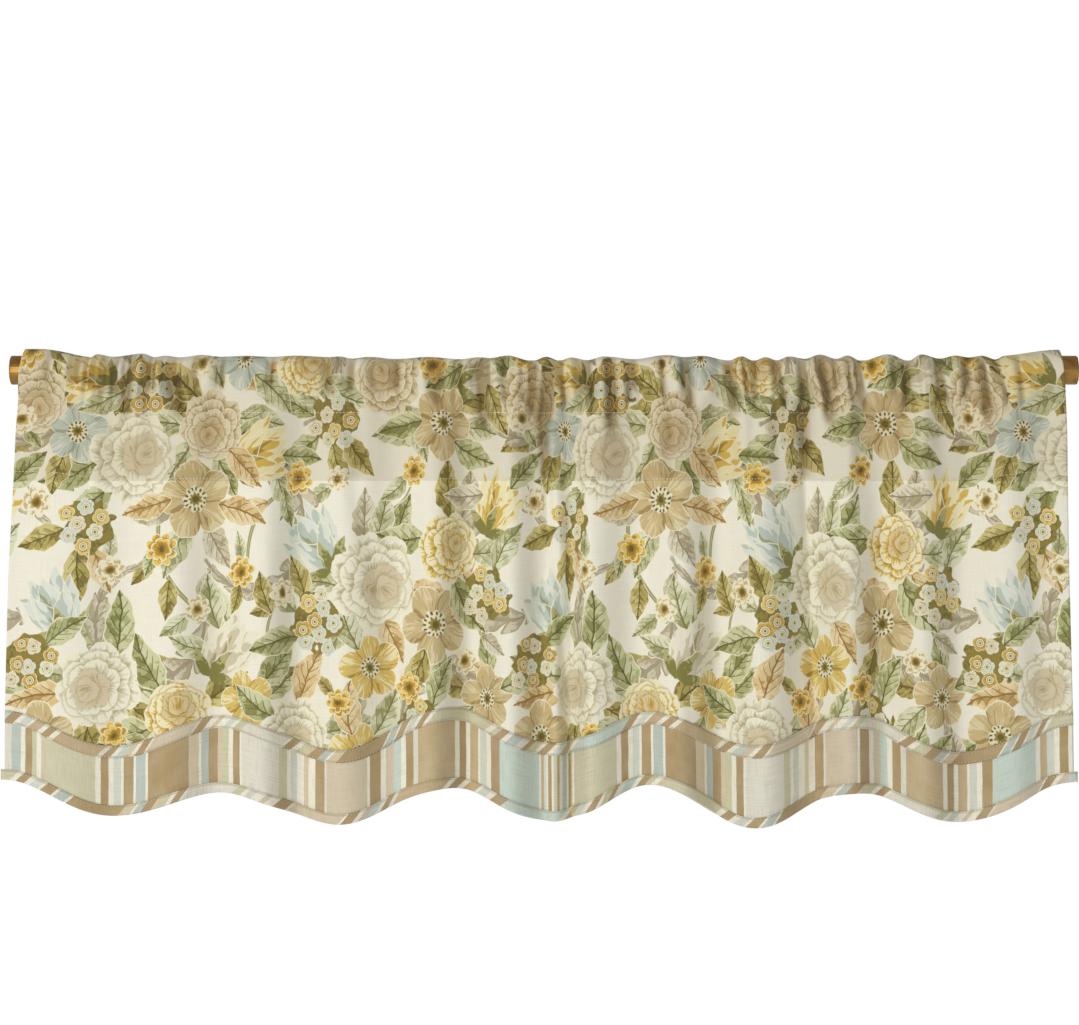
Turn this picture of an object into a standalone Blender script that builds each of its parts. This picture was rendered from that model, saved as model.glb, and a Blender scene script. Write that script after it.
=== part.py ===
"""A gathered window valance hanging on its rod.

A printed cotton panel folds over the rod, is sewn to itself twice to make a rod pocket and an
empty channel under it, and hangs down to a scalloped seam. A striped band carries the scallops
on, a striped bias trim covers the seam, and a striped bias binding wraps the hem.

The origin is on the rod's axis at the middle of its length. X runs along the rod, -Y faces the
room and +Z is up. Lengths in this file are millimetres, and the meshes are written in metres.
"""

import math

import bpy
import numpy as np

METRES_PER_MM = 0.001

# Cloth thicknesses and the gaps that pieces keep
PANEL_THICKNESS = 1.0
TAPE_THICKNESS = 1.0
PIECE_GAP = 0.3
LAYER_GAP = 0.5

# Rod and its end caps
ROD_RADIUS = 8.0
CAP_RADIUS = 14.0
CAP_LENGTH = 28.0
CAP_BORE_DEPTH = 20.0
CAP_EDGE = 1.2
SHARP_ANGLE = math.radians(35.0)
ROD_HALF_SPAN = 515.0
ROD_SIDES = 32
ROD_TO_CLOTH = 1.3

# Heading: heights above the rod's axis, and half widths of the pocket
TOP_MEAN = 12.7
POCKET_FRONT = 12.4
POCKET_BACK = 11.6
POCKET_END = 17.8
FRONT_SWELL = 1.5
BACK_SWELL = 0.8
POCKET_STITCH_Z = -41.0
CHANNEL_STITCH_Z = -105.0
FACING_END_Z = -107.0
STITCH_END_RISE = 14.0
END_FULL = 20.0
END_REACH = 90.0
TEARDROP_POWER = 1.5

# How far down the ruffles and the long folds reach, and how strong they are at the pocket stitch
RUFFLE_AT_STITCH = 1.15
RUFFLE_FADE_Z = -170.0
FOLD_AT_STITCH = 0.5
FOLD_FULL_Z = -230.0

# Trim, band and binding
TRIM_WIDTH = 12.0
BINDING_WIDTH = 10.0
BINDING_TAIL = 3.6

SCALLOP_LEVEL_Z = -395.0

# Columns of the cloth grid stand at the turning points of its folds, and no closer than this
COLUMN_SPACING = 6.5
COLUMN_SPACING_MOST = 13.0

# Rows of the cloth grid: degrees round the rod from its front, and shares of each stretch
POCKET_ANGLES = (0, 30, 60, 90, 120, 150, 180)
POCKET_LEG_ROWS = (0.33, 0.66)
CHANNEL_ROWS = (0.33, 0.67)
PANEL_ROWS_ABOVE_TRIM = (0.22, 0.46, 0.72, 1.0)
BAND_ROWS_BELOW_TRIM = (0.5, 1.0)

# Where the pocket opens wider at each end: height added, where the rise is full, where it ends
END_RISES = {"left": (8.0, 15.0, 75.0), "right": (7.3, 0.0, 60.0)}

# Side edges of the cloth: height, left x, right x
SIDE_EDGES = (
    (21.0, -500.5, 496.8),
    (0.0, -504.5, 499.0),
    (-28.0, -508.0, 504.0),
    (-58.0, -510.5, 505.3),
    (-105.0, -512.6, 505.6),
    (-200.0, -517.8, 507.2),
    (-320.0, -520.8, 510.4),
    (-440.0, -521.3, 512.3),
)

# Ruffles along the top: x and height of each crease, then x and height of the crest after it
RUFFLES = (
    (-440.2, 12.0, -434.0, 15.6),
    (-418.0, 13.2, -390.1, 16.2),
    (-377.5, 12.8, -367.9, 14.2),
    (-352.8, 12.6, -333.1, 14.8),
    (-312.9, 13.2, -289.7, 14.0),
    (-264.6, 13.1, -240.7, 14.2),
    (-209.9, 12.9, -199.0, 13.4),
    (-186.4, 11.4, -170.0, 13.0),
    (-143.3, 11.0, -112.1, 13.0),
    (-81.7, 10.8, -63.3, 12.7),
    (-53.0, 11.9, -36.2, 14.3),
    (-11.8, 9.0, 1.7, 13.2),
    (14.3, 9.4, 25.9, 12.4),
    (41.3, 9.9, 58.0, 13.5),
    (87.0, 10.9, 117.8, 14.8),
    (135.9, 12.9, 152.3, 14.0),
    (178.3, 9.6, 190.9, 13.6),
    (202.8, 9.2, 214.0, 12.7),
    (225.0, 9.8, 237.2, 13.4),
    (252.2, 11.2, 266.9, 15.3),
    (282.8, 11.2, 293.9, 14.4),
    (306.3, 9.1, 333.7, 15.5),
    (352.5, 9.3, 365.5, 15.4),
    (382.9, 11.4, 398.4, 14.3),
    (411.0, 12.6, 424.4, 14.2),
    (436.8, 10.6, 446.0, 13.8),
)

# Pinched creases in the front of the pocket: x at the top, x at the foot, top height, foot
# height, half width, depth. Each starts sharply and fades out over its last third
CREASE_START = 0.25
CREASE_FADE = 0.33
CREASES = (
    (-455.0, -453.0, 9.0, -12.0, 6.0, 3.0),
    (-419.0, -414.0, 10.0, -22.0, 6.0, 4.0),
    (-401.6, -405.0, 6.0, -44.0, 7.0, 5.0),
    (-366.4, -347.6, 6.0, -50.0, 7.0, 5.0),
    (-208.6, -207.0, 10.0, -30.0, 8.0, 2.5),
    (-101.0, -104.0, 8.0, -40.0, 8.0, 3.0),
    (-62.9, -57.0, 8.0, -62.0, 8.0, 4.5),
    (5.6, 3.0, 0.0, -55.0, 7.0, 4.5),
    (64.5, 66.0, 4.0, -70.0, 9.0, 4.5),
    (137.5, 140.0, 6.0, -40.0, 8.0, 3.0),
    (180.0, 182.0, 8.0, -46.0, 7.0, 3.5),
    (266.0, 279.0, 10.0, -60.0, 7.5, 6.0),
    (383.0, 386.0, 8.0, -30.0, 8.0, 3.0),
    (425.4, 427.0, 8.0, -48.0, 8.0, 4.0),
)

# Long folds: x at the pocket, x at the hem, depth at the hem (minus is towards the room)
FOLDS = (
    (-504.0, -521.0, 0.0),
    (-455.0, -468.0, -6.5),
    (-400.0, -409.0, 4.5),
    (-352.0, -358.0, -9.0),
    (-312.0, -318.0, 8.0),
    (-268.0, -272.0, -13.5),
    (-232.0, -235.5, 12.5),
    (-190.0, -192.0, -9.5),
    (-144.0, -147.0, 9.5),
    (-104.0, -110.0, -14.5),
    (-70.0, -71.5, 13.5),
    (-31.0, -33.0, -14.5),
    (0.0, 0.5, 8.5),
    (10.0, 11.0, 0.5),
    (26.0, 27.0, 14.0),
    (46.0, 47.0, -11.0),
    (88.0, 92.5, 9.5),
    (130.0, 134.0, -14.0),
    (168.0, 172.0, 14.0),
    (208.0, 213.0, -15.5),
    (258.0, 264.0, 15.0),
    (290.0, 296.0, -13.0),
    (328.0, 332.0, 12.0),
    (362.0, 367.5, -12.5),
    (402.0, 409.0, 11.0),
    (448.0, 455.0, -8.5),
    (482.0, 488.0, 3.0),
    (504.0, 512.0, -1.5),
)

# Scallops: x of each crest and trough, height of the trim's upper edge, height of the hem
SCALLOPS = (
    (-524.0, -328.5, -395.5),
    (-416.5, -363.2, -431.0),
    (-311.8, -334.0, -408.6),
    (-199.6, -366.8, -438.4),
    (-93.0, -325.8, -403.8),
    (8.0, -360.5, -436.2),
    (106.5, -330.2, -401.0),
    (199.0, -362.2, -441.6),
    (300.5, -333.4, -408.2),
    (403.0, -369.6, -437.4),
    (515.0, -330.8, -397.8),
)

MATERIALS = {
    "floral_cotton": ((0.80, 0.76, 0.65), 0.90, 0.0),
    "striped_cotton": ((0.68, 0.64, 0.50), 0.90, 0.0),
    "striped_tape": ((0.60, 0.55, 0.42), 0.88, 0.0),
    "antique_brass": ((0.45, 0.25, 0.09), 0.38, 1.0),
}


def smooth_step(t):
    """0 below 0, 1 above 1 and an even S curve between."""
    t = np.clip(t, 0.0, 1.0)
    return t * t * (3.0 - 2.0 * t)


def wave_through(x, turning_x, turning_value):
    """A half cosine from each turning point to the next, level outside them."""
    turning_x = np.asarray(turning_x, float)
    turning_value = np.asarray(turning_value, float)
    after = np.clip(np.searchsorted(turning_x, x), 1, len(turning_x) - 1)
    before = after - 1
    share = np.clip((x - turning_x[before]) / (turning_x[after] - turning_x[before]), 0.0, 1.0)
    blend = 0.5 - 0.5 * np.cos(np.pi * share)
    return turning_value[before] + (turning_value[after] - turning_value[before]) * blend


def side_edges(z):
    """Left and right x of the cloth at a height."""
    heights, left, right = np.array(SIDE_EDGES[::-1]).T
    return np.interp(z, heights, left), np.interp(z, heights, right)


def inward_distance(x, side):
    """How far x is in from the top corner on one side."""
    left, right = side_edges(0.0)
    return x - left if side == "left" else right - x


def end_rise(x):
    """Height that the pocket gains where it opens at its two ends."""
    total = 0.0
    for side, (height, full, reach) in END_RISES.items():
        total = total + height * (1.0 - smooth_step((inward_distance(x, side) - full) / (reach - full)))
    return total


def end_weight(x):
    """1 at either end of the pocket and 0 away from both."""
    nearest = np.minimum(inward_distance(x, "left"), inward_distance(x, "right"))
    return 1.0 - smooth_step((nearest - END_FULL) / (END_REACH - END_FULL))


def ruffle(x):
    """How far the gathered top stands above (or below) its mean height."""
    turning = np.array(RUFFLES).reshape(-1, 2)
    left, right = side_edges(0.0)
    turning_x = np.concatenate([[left], turning[:, 0], [right]])
    turning_z = np.concatenate([[TOP_MEAN], turning[:, 1], [TOP_MEAN]])
    return wave_through(x, turning_x, turning_z) - TOP_MEAN


def crease(x, z):
    """Depth of the pinched creases, each a soft trough that leans from its top to its foot."""
    total = np.zeros(np.broadcast(x, z).shape)
    for top_x, foot_x, top_z, foot_z, half_width, depth in CREASES:
        share = (top_z - z) / (top_z - foot_z)
        middle = top_x + (foot_x - top_x) * np.clip(share, 0.0, 1.0)
        along = smooth_step(share / CREASE_START + 1.0) * smooth_step((1.0 - share) / CREASE_FADE)
        total = total + depth * along * np.exp(-(((x - middle) / half_width) ** 2))
    return total


def share_below_stitch(z, end_z):
    """0 at the pocket's stitch line and 1 at another height under it."""
    return (POCKET_STITCH_Z - z) / (POCKET_STITCH_Z - end_z)


def long_fold(x, z):
    """Depth of the long folds, whose lines run from the pocket stitch to the hem."""
    at_pocket, at_hem, depth = np.array(FOLDS).T
    down = np.clip(share_below_stitch(z, SCALLOPS[1][2]), 0.0, 1.0)
    strength = FOLD_AT_STITCH + (1.0 - FOLD_AT_STITCH) * smooth_step(share_below_stitch(z, FOLD_FULL_Z))
    rows = np.broadcast_to(down, np.shape(x))
    found = np.empty(np.shape(x))
    for share in np.unique(rows):
        at = rows == share
        found[at] = wave_through(x[at], at_pocket + (at_hem - at_pocket) * share, depth)
    return found * strength


def hang_depth(x, z):
    """Y of the cloth's back surface below the pocket: ruffles fading out, folds growing in."""
    fade = RUFFLE_AT_STITCH * (1.0 - smooth_step(share_below_stitch(z, RUFFLE_FADE_Z)))
    return long_fold(x, z) - ruffle(x) * fade + crease(x, z)


def pocket_stitch_z(x):
    """Height of the pocket's stitch line, which climbs at the open ends."""
    return POCKET_STITCH_Z + STITCH_END_RISE * end_weight(x)


def trim_top_z(x):
    """Height of the trim's upper edge."""
    place, trim_top, _ = np.array(SCALLOPS).T
    return wave_through(x, place, trim_top)


def hem_z(x):
    """Height of the scalloped hem."""
    place, _, hem = np.array(SCALLOPS).T
    return wave_through(x, place, hem)


def below(line, x, distance):
    """Height of a line drawn this far under a scalloped one, square to it."""
    step = 1.0
    slope = (line(x + step) - line(x - step)) / (2.0 * step)
    return line(x) - distance * np.sqrt(1.0 + slope**2)


def column_shares():
    """Columns as shares of the cloth's width: one at each turn of a ruffle, fold or crease."""
    left, right = side_edges(0.0)
    turning = np.array(RUFFLES).reshape(-1, 2)[:, 0]
    creases = [(row[0] + row[1]) / 2.0 for row in CREASES]
    wanted = np.sort(np.concatenate([turning, creases, [row[0] for row in FOLDS]]))
    chosen = [left]
    for x in wanted:
        if chosen[-1] + COLUMN_SPACING <= x <= right - COLUMN_SPACING:
            chosen.append(x)
    chosen.append(right)
    filled = [left]
    for x in chosen[1:]:
        parts = math.ceil((x - filled[-1]) / COLUMN_SPACING_MOST)
        filled.extend(np.linspace(filled[-1], x, parts + 1)[1:])
    return (np.array(filled) - left) / (right - left)


def x_at(shares, z):
    """X of each column at a height."""
    left, right = side_edges(z)
    return left + shares * (right - left)


def scallop_x(shares):
    """X of each column at the scallops, the same for every piece that follows them."""
    return x_at(shares, SCALLOP_LEVEL_Z)


def hanging_row(shares, z, offset):
    """A row of the hanging cloth, this far in front of (minus) or behind its back surface.

    The row is a zigzag seen from above. Each of its points moves along the mitre of the two
    runs that meet there, so every run keeps the same distance from the back surface.
    """
    z = np.broadcast_to(z, shares.shape)
    x = x_at(shares, z)
    y = hang_depth(x, z)
    run = np.stack([np.diff(x), np.diff(y)], axis=1)
    run /= np.linalg.norm(run, axis=1)[:, None]
    square = np.stack([-run[:, 1], run[:, 0]], axis=1)
    before = np.concatenate([square[:1], square])
    after = np.concatenate([square, square[-1:]])
    mitre = (before + after) / (1.0 + np.sum(before * after, axis=1))[:, None]
    return np.stack([x + offset * mitre[:, 0], y + offset * mitre[:, 1], z], axis=1)


def pocket_radii(x):
    """Distances from the rod's axis to the middle of the cloth at its front, top and back."""
    closest = ROD_RADIUS + ROD_TO_CLOTH
    raised = ruffle(x) + end_rise(x)
    top = TOP_MEAN + raised - PANEL_THICKNESS / 2.0
    front = POCKET_FRONT + FRONT_SWELL * raised - crease(x, 0.0)
    back = POCKET_BACK + BACK_SWELL * raised
    at_ends = POCKET_END * end_weight(x)
    return (
        np.clip(front, np.maximum(closest, at_ends), POCKET_END),
        np.maximum(top, closest),
        np.clip(back, np.maximum(closest, at_ends), POCKET_END),
    )


def pocket_arc_row(shares, angle):
    """A row of the cloth over the rod: 0 degrees at the front, 90 on top and 180 at the back."""
    x = x_at(shares, 0.0)
    front, top, back = pocket_radii(x)
    side = front if angle <= 90.0 else back
    across = math.cos(math.radians(angle)) ** 2
    radius = side * across + top * (1.0 - across)
    y = -radius * math.cos(math.radians(angle))
    z = radius * math.sin(math.radians(angle))
    return np.stack([x_at(shares, z), y, z], axis=1)


def pocket_leg_row(shares, share_down, at_front):
    """A row of the teardrop's straight side, from the rod's level down to the pocket stitch."""
    x = x_at(shares, 0.0)
    front, _, back = pocket_radii(x)
    stitch = pocket_stitch_z(x)
    z = stitch * share_down
    foot_offset = -PANEL_THICKNESS / 2.0 if at_front else LAYER_GAP + PANEL_THICKNESS / 2.0
    foot = hanging_row(shares, stitch, foot_offset)[:, 1]
    rod_level = -front if at_front else back
    blend = share_down**TEARDROP_POWER
    y = rod_level * (1.0 - blend) + foot * blend
    if at_front:
        y = y + crease(x, z) - crease(x, 0.0) * (1.0 - blend) - crease(x, stitch) * blend
    return np.stack([x_at(shares, z), y, z], axis=1)


def with_tails(row, length):
    """A row made longer at both ends, in line with its end runs."""
    first = row[0] - row[1]
    last = row[-1] - row[-2]
    before = row[0] + first * length / np.linalg.norm(first)
    after = row[-1] + last * length / np.linalg.norm(last)
    return np.vstack([before, row, after])


def panel_rows(shares):
    """The panel's middle surface, from the facing's end behind, over the rod, to the seam."""
    front = -PANEL_THICKNESS / 2.0
    behind = LAYER_GAP + PANEL_THICKNESS / 2.0
    x = x_at(shares, POCKET_STITCH_Z)
    stitch = pocket_stitch_z(x)
    rise = stitch - POCKET_STITCH_Z
    channel = [stitch + (CHANNEL_STITCH_Z + rise / 2.0 - stitch) * share for share in CHANNEL_ROWS]
    facing_end = FACING_END_Z + rise / 2.0
    x = scallop_x(shares)
    trim_top = trim_top_z(x)
    seam = below(trim_top_z, x, (TRIM_WIDTH - PIECE_GAP) / 2.0)

    rows = [hanging_row(shares, z, behind) for z in (facing_end, channel[1], channel[0], stitch)]
    rows += [pocket_leg_row(shares, share, False) for share in reversed(POCKET_LEG_ROWS)]
    rows += [pocket_arc_row(shares, angle) for angle in reversed(POCKET_ANGLES)]
    rows += [pocket_leg_row(shares, share, True) for share in POCKET_LEG_ROWS]
    rows += [hanging_row(shares, z, front) for z in (stitch, channel[0], channel[1], facing_end)]
    rows += [
        hanging_row(shares, facing_end + (trim_top - facing_end) * share, front)
        for share in PANEL_ROWS_ABOVE_TRIM
    ]
    rows.append(hanging_row(shares, seam, front))
    return rows


def band_rows(shares):
    """The striped band's middle surface, from the seam down to just inside the binding."""
    front = -PANEL_THICKNESS / 2.0
    x = scallop_x(shares)
    top = below(trim_top_z, x, (TRIM_WIDTH + PIECE_GAP) / 2.0)
    trim_foot = below(trim_top_z, x, TRIM_WIDTH)
    binding_top = below(hem_z, x, -BINDING_WIDTH)
    foot = below(hem_z, x, -(TAPE_THICKNESS + PIECE_GAP))
    between = [trim_foot + (binding_top - trim_foot) * share for share in BAND_ROWS_BELOW_TRIM]
    return [hanging_row(shares, z, front) for z in (top, trim_foot, *between, foot)]


def trim_rows(shares):
    """The trim's middle surface, lying on the front of the panel and of the band."""
    x = scallop_x(shares)
    front = -(PANEL_THICKNESS + PIECE_GAP + TAPE_THICKNESS / 2.0)
    heights = [below(trim_top_z, x, down) for down in (0.0, TRIM_WIDTH / 2.0, TRIM_WIDTH)]
    return [hanging_row(shares, z, front) for z in heights]


def binding_rows(shares):
    """The binding's middle surface: down the front of the hem, under it and up its back."""
    front = -(PANEL_THICKNESS + PIECE_GAP + TAPE_THICKNESS / 2.0)
    back = PIECE_GAP + TAPE_THICKNESS / 2.0
    x = scallop_x(shares)
    upper = below(hem_z, x, -BINDING_WIDTH)
    lower = below(hem_z, x, -TAPE_THICKNESS / 2.0)
    corners = ((upper, front), (lower, front), (lower, back), (upper, back))
    return [with_tails(hanging_row(shares, z, offset), BINDING_TAIL) for z, offset in corners]


def finish_material(name):
    """A Principled material of one of the object's finishes."""
    colour, roughness, metallic = MATERIALS[name]
    material = bpy.data.materials.get(name) or bpy.data.materials.new(name)
    material.use_nodes = True
    shader = material.node_tree.nodes["Principled BSDF"]
    shader.inputs["Base Color"].default_value = (*colour, 1.0)
    shader.inputs["Roughness"].default_value = roughness
    shader.inputs["Metallic"].default_value = metallic
    return material


def mesh_object(name, points, faces, material):
    """An object whose mesh holds these millimetre points in metres."""
    mesh = bpy.data.meshes.new(name)
    mesh.from_pydata((np.asarray(points) * METRES_PER_MM).tolist(), [], faces)
    mesh.materials.append(finish_material(material))
    mesh.shade_smooth()
    made = bpy.data.objects.new(name, mesh)
    bpy.context.scene.collection.objects.link(made)
    return made


def cloth_sheet(name, rows, thickness, material):
    """A sheet of cloth from the rows of its middle surface, thickened by Solidify."""
    count = len(rows[0])
    corners = [row * count + column for row in range(len(rows) - 1) for column in range(count - 1)]
    faces = [(corner, corner + count, corner + count + 1, corner + 1) for corner in corners]
    made = mesh_object(name, np.concatenate(rows), faces, material)
    solidify = made.modifiers.new("cloth thickness", "SOLIDIFY")
    solidify.thickness = thickness * METRES_PER_MM
    solidify.offset = 0.0
    solidify.use_even_offset = True
    solidify.use_quality_normals = True
    return made


def turned_piece(name, profile, material):
    """A solid turned about the rod's axis from (x, radius) points that start and end on it."""
    angles = np.linspace(0.0, 2.0 * math.pi, ROD_SIDES, endpoint=False)
    points = [(profile[0][0], 0.0, 0.0)]
    for x, radius in profile[1:-1]:
        points += [(x, radius * math.cos(a), radius * math.sin(a)) for a in angles]
    points.append((profile[-1][0], 0.0, 0.0))
    rings = len(profile) - 2
    following = [(side + 1) % ROD_SIDES for side in range(ROD_SIDES)]
    faces = []
    for side, after in enumerate(following):
        faces.append((0, 1 + side, 1 + after))
        for ring in range(rings - 1):
            here = 1 + ring * ROD_SIDES
            beyond = here + ROD_SIDES
            faces.append((here + side, beyond + side, beyond + after, here + after))
        last = 1 + (rings - 1) * ROD_SIDES
        faces.append((last + side, len(points) - 1, last + after))
    made = mesh_object(name, points, faces, material)
    made.data.set_sharp_from_angle(angle=SHARP_ANGLE)
    return made


def build_rod():
    """The rod, whose ends sit in the caps' bores."""
    end = ROD_HALF_SPAN - (CAP_LENGTH - CAP_BORE_DEPTH) - PIECE_GAP
    turned_piece("rod", [(end, 0.0), (end, ROD_RADIUS), (-end, ROD_RADIUS), (-end, 0.0)], "antique_brass")


def build_end_cap(name, direction):
    """A cylindrical cap with a flat outer face, softened edges and a blind bore for the rod."""
    outer = ROD_HALF_SPAN
    inner = ROD_HALF_SPAN - CAP_LENGTH
    bore = ROD_RADIUS + PIECE_GAP
    bore_end = inner + CAP_BORE_DEPTH
    profile = [
        (outer, 0.0),
        (outer, CAP_RADIUS - CAP_EDGE),
        (outer - CAP_EDGE / 3.0, CAP_RADIUS - CAP_EDGE / 3.0),
        (outer - CAP_EDGE, CAP_RADIUS),
        (inner + CAP_EDGE / 2.0, CAP_RADIUS),
        (inner, CAP_RADIUS - CAP_EDGE / 2.0),
        (inner, bore),
        (bore_end, bore),
        (bore_end, 0.0),
    ]
    if direction < 0:
        profile = [(-x, radius) for x, radius in reversed(profile)]
    turned_piece(name, profile, "antique_brass")


def build_valance():
    """Clears the scene, then builds the cloth pieces, the rod and its caps."""
    for old in list(bpy.data.objects):
        bpy.data.objects.remove(old)
    shares = column_shares()
    cloth_sheet("floral_panel", panel_rows(shares), PANEL_THICKNESS, "floral_cotton")
    cloth_sheet("striped_band", band_rows(shares), PANEL_THICKNESS, "striped_cotton")
    cloth_sheet("seam_trim", trim_rows(shares), TAPE_THICKNESS, "striped_tape")
    cloth_sheet("hem_binding", binding_rows(shares), TAPE_THICKNESS, "striped_tape")
    build_rod()
    build_end_cap("end_cap_left", -1)
    build_end_cap("end_cap_right", 1)


build_valance()
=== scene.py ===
"""The looks of a gathered window valance hanging on its rod.

The cloth pieces are numpy grids of the folds that the solids have, with finer creases. The floral
print is laid out here: each motif stamps its own flat coordinates on the cloth's faces, and the
material draws the motif from them. Cloth sizes are in millimetres, and meshes are in metres.
"""

import math

import bpy
import numpy as np
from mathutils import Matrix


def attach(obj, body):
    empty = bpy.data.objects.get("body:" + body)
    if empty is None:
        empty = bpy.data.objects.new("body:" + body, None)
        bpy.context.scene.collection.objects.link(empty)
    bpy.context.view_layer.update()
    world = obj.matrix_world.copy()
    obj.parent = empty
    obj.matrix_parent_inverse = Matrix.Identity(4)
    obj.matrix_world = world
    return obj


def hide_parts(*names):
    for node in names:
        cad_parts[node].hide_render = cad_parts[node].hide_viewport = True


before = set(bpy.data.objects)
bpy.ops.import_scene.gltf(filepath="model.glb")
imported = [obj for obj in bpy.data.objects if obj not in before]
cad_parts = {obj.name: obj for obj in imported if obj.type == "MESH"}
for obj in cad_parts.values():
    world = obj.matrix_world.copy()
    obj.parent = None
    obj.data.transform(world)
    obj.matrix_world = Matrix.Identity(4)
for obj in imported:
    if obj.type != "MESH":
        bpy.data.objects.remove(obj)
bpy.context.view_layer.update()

MM = 0.001

# The camera looks level along +Y at the middle of the photograph, 0.965 mm a pixel at the cloth
MM_PER_PIXEL = 0.965
PHOTO_SIZE = (1079.0, 1025.0)
ROD_MIDDLE_PIXEL = (544.16, 370.0)
CAMERA_LENS = 100.0
SENSOR_WIDTH = 36.0
FRAME_WIDTH = PHOTO_SIZE[0] * MM_PER_PIXEL * MM
CAMERA_X = (PHOTO_SIZE[0] / 2.0 - ROD_MIDDLE_PIXEL[0]) * MM_PER_PIXEL * MM
CAMERA_Z = -(PHOTO_SIZE[1] / 2.0 - ROD_MIDDLE_PIXEL[1]) * MM_PER_PIXEL * MM
CLOTH_FRONT_Y = -0.004

# The stage, in metres: how strong the light from all round is, and where the floor lies
WORLD_LIGHT = 0.43
FLOOR_HALF_WIDTH = 6.0
FLOOR_FRONT_Y = -2.7
FLOOR_BACK_Y = 2.6
FLOOR_Z = -1.1

# Sizes shared with the solids
PANEL_THICKNESS = 1.0
TAPE_THICKNESS = 1.0
PIECE_GAP = 0.3
LAYER_GAP = 0.5
ROD_RADIUS = 8.0
ROD_TO_CLOTH = 1.1
TOP_MEAN = 12.7
POCKET_FRONT = 12.4
POCKET_BACK = 11.6
POCKET_END = 17.8
FRONT_SWELL = 2.2
BACK_SWELL = 0.8
POCKET_STITCH_Z = -41.0
CHANNEL_STITCH_Z = -105.0
FACING_END_Z = -107.0
STITCH_END_RISE = 14.0
END_FULL = 20.0
END_REACH = 90.0
TEARDROP_POWER = 1.5
RUFFLE_AT_STITCH = 1.15
RUFFLE_FADE_Z = -170.0
FOLD_AT_STITCH = 0.5
FOLD_FULL_Z = -230.0
TRIM_WIDTH = 12.0
BINDING_WIDTH = 10.0
BINDING_TAIL = 3.6
SCALLOP_LEVEL_Z = -395.0
CREASE_START = 0.25
CREASE_FADE = 0.33
PINCH_TOP = 12.0
PINCH_FOOT = -24.0
PINCH_HALF_WIDTH = 3.0
PINCH_DEPTH = 4.0
CREASE_GAIN = 1.35
# Painted shade in the heading's creases: the crease depth that gets it in full, the height where it has
# faded out, and the span of its fade
CREASE_SHADE_FULL = 4.5
CREASE_SHADE_END_Z = -150.0
CREASE_SHADE_FADE = 80.0

# The cloth that is seen is thinner than its solids
CLOTH_THICKNESS = 0.8
TAPE_CLOTH_THICKNESS = 0.6
FLAT_WIDTH = 1218.0
TOP_ARC = 19.0
TRIM_DOME = 0.45
THREAD_PITCH = 0.00062

# The tapes are cut at a slant from the striped cloth: its degrees, and where each starts along it
BIAS_DEGREES = 42.0
TRIM_SHIFT = 523.5
BINDING_SHIFT = 78.4

# Columns and rows of the fine grids
COLUMNS = 616
FACING_ROWS = 8
BACK_LEG_ROWS = 6
ARC_STEPS = 13
FRONT_LEG_ROWS = 16
CHANNEL_ROWS = 10
BODY_ROWS = 27
BAND_ROWS = 22

END_RISES = {"left": (8.0, 15.0, 75.0), "right": (7.3, 0.0, 60.0)}

# Side edges of the cloth: height, left x, right x
SIDE_EDGES = (
    (21.0, -500.5, 496.8),
    (0.0, -504.5, 499.0),
    (-28.0, -508.0, 504.0),
    (-58.0, -510.5, 505.3),
    (-105.0, -512.6, 505.6),
    (-200.0, -517.8, 507.2),
    (-320.0, -520.8, 510.4),
    (-440.0, -521.3, 512.3),
)

# Ruffles along the top: x and height of each crease, then x and height of the crest after it
RUFFLES = (
    (-440.2, 12.0, -434.0, 15.6),
    (-418.0, 13.2, -390.1, 16.2),
    (-377.5, 12.8, -367.9, 14.2),
    (-352.8, 12.6, -333.1, 14.8),
    (-312.9, 13.2, -289.7, 14.0),
    (-264.6, 13.1, -240.7, 14.2),
    (-209.9, 12.9, -199.0, 13.4),
    (-186.4, 11.4, -170.0, 13.0),
    (-143.3, 11.0, -112.1, 13.0),
    (-81.7, 10.8, -63.3, 12.7),
    (-53.0, 11.9, -36.2, 14.3),
    (-11.8, 9.0, 1.7, 13.2),
    (14.3, 9.4, 25.9, 12.4),
    (41.3, 9.9, 58.0, 13.5),
    (87.0, 10.9, 117.8, 14.8),
    (135.9, 12.9, 152.3, 14.0),
    (178.3, 9.6, 190.9, 13.6),
    (202.8, 9.2, 214.0, 12.7),
    (225.0, 9.8, 237.2, 13.4),
    (252.2, 11.2, 266.9, 15.3),
    (282.8, 11.2, 293.9, 14.4),
    (306.3, 9.1, 333.7, 15.5),
    (352.5, 9.3, 365.5, 15.4),
    (382.9, 11.4, 398.4, 14.3),
    (411.0, 12.6, 424.4, 14.2),
    (436.8, 10.6, 446.0, 13.8),
)

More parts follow.
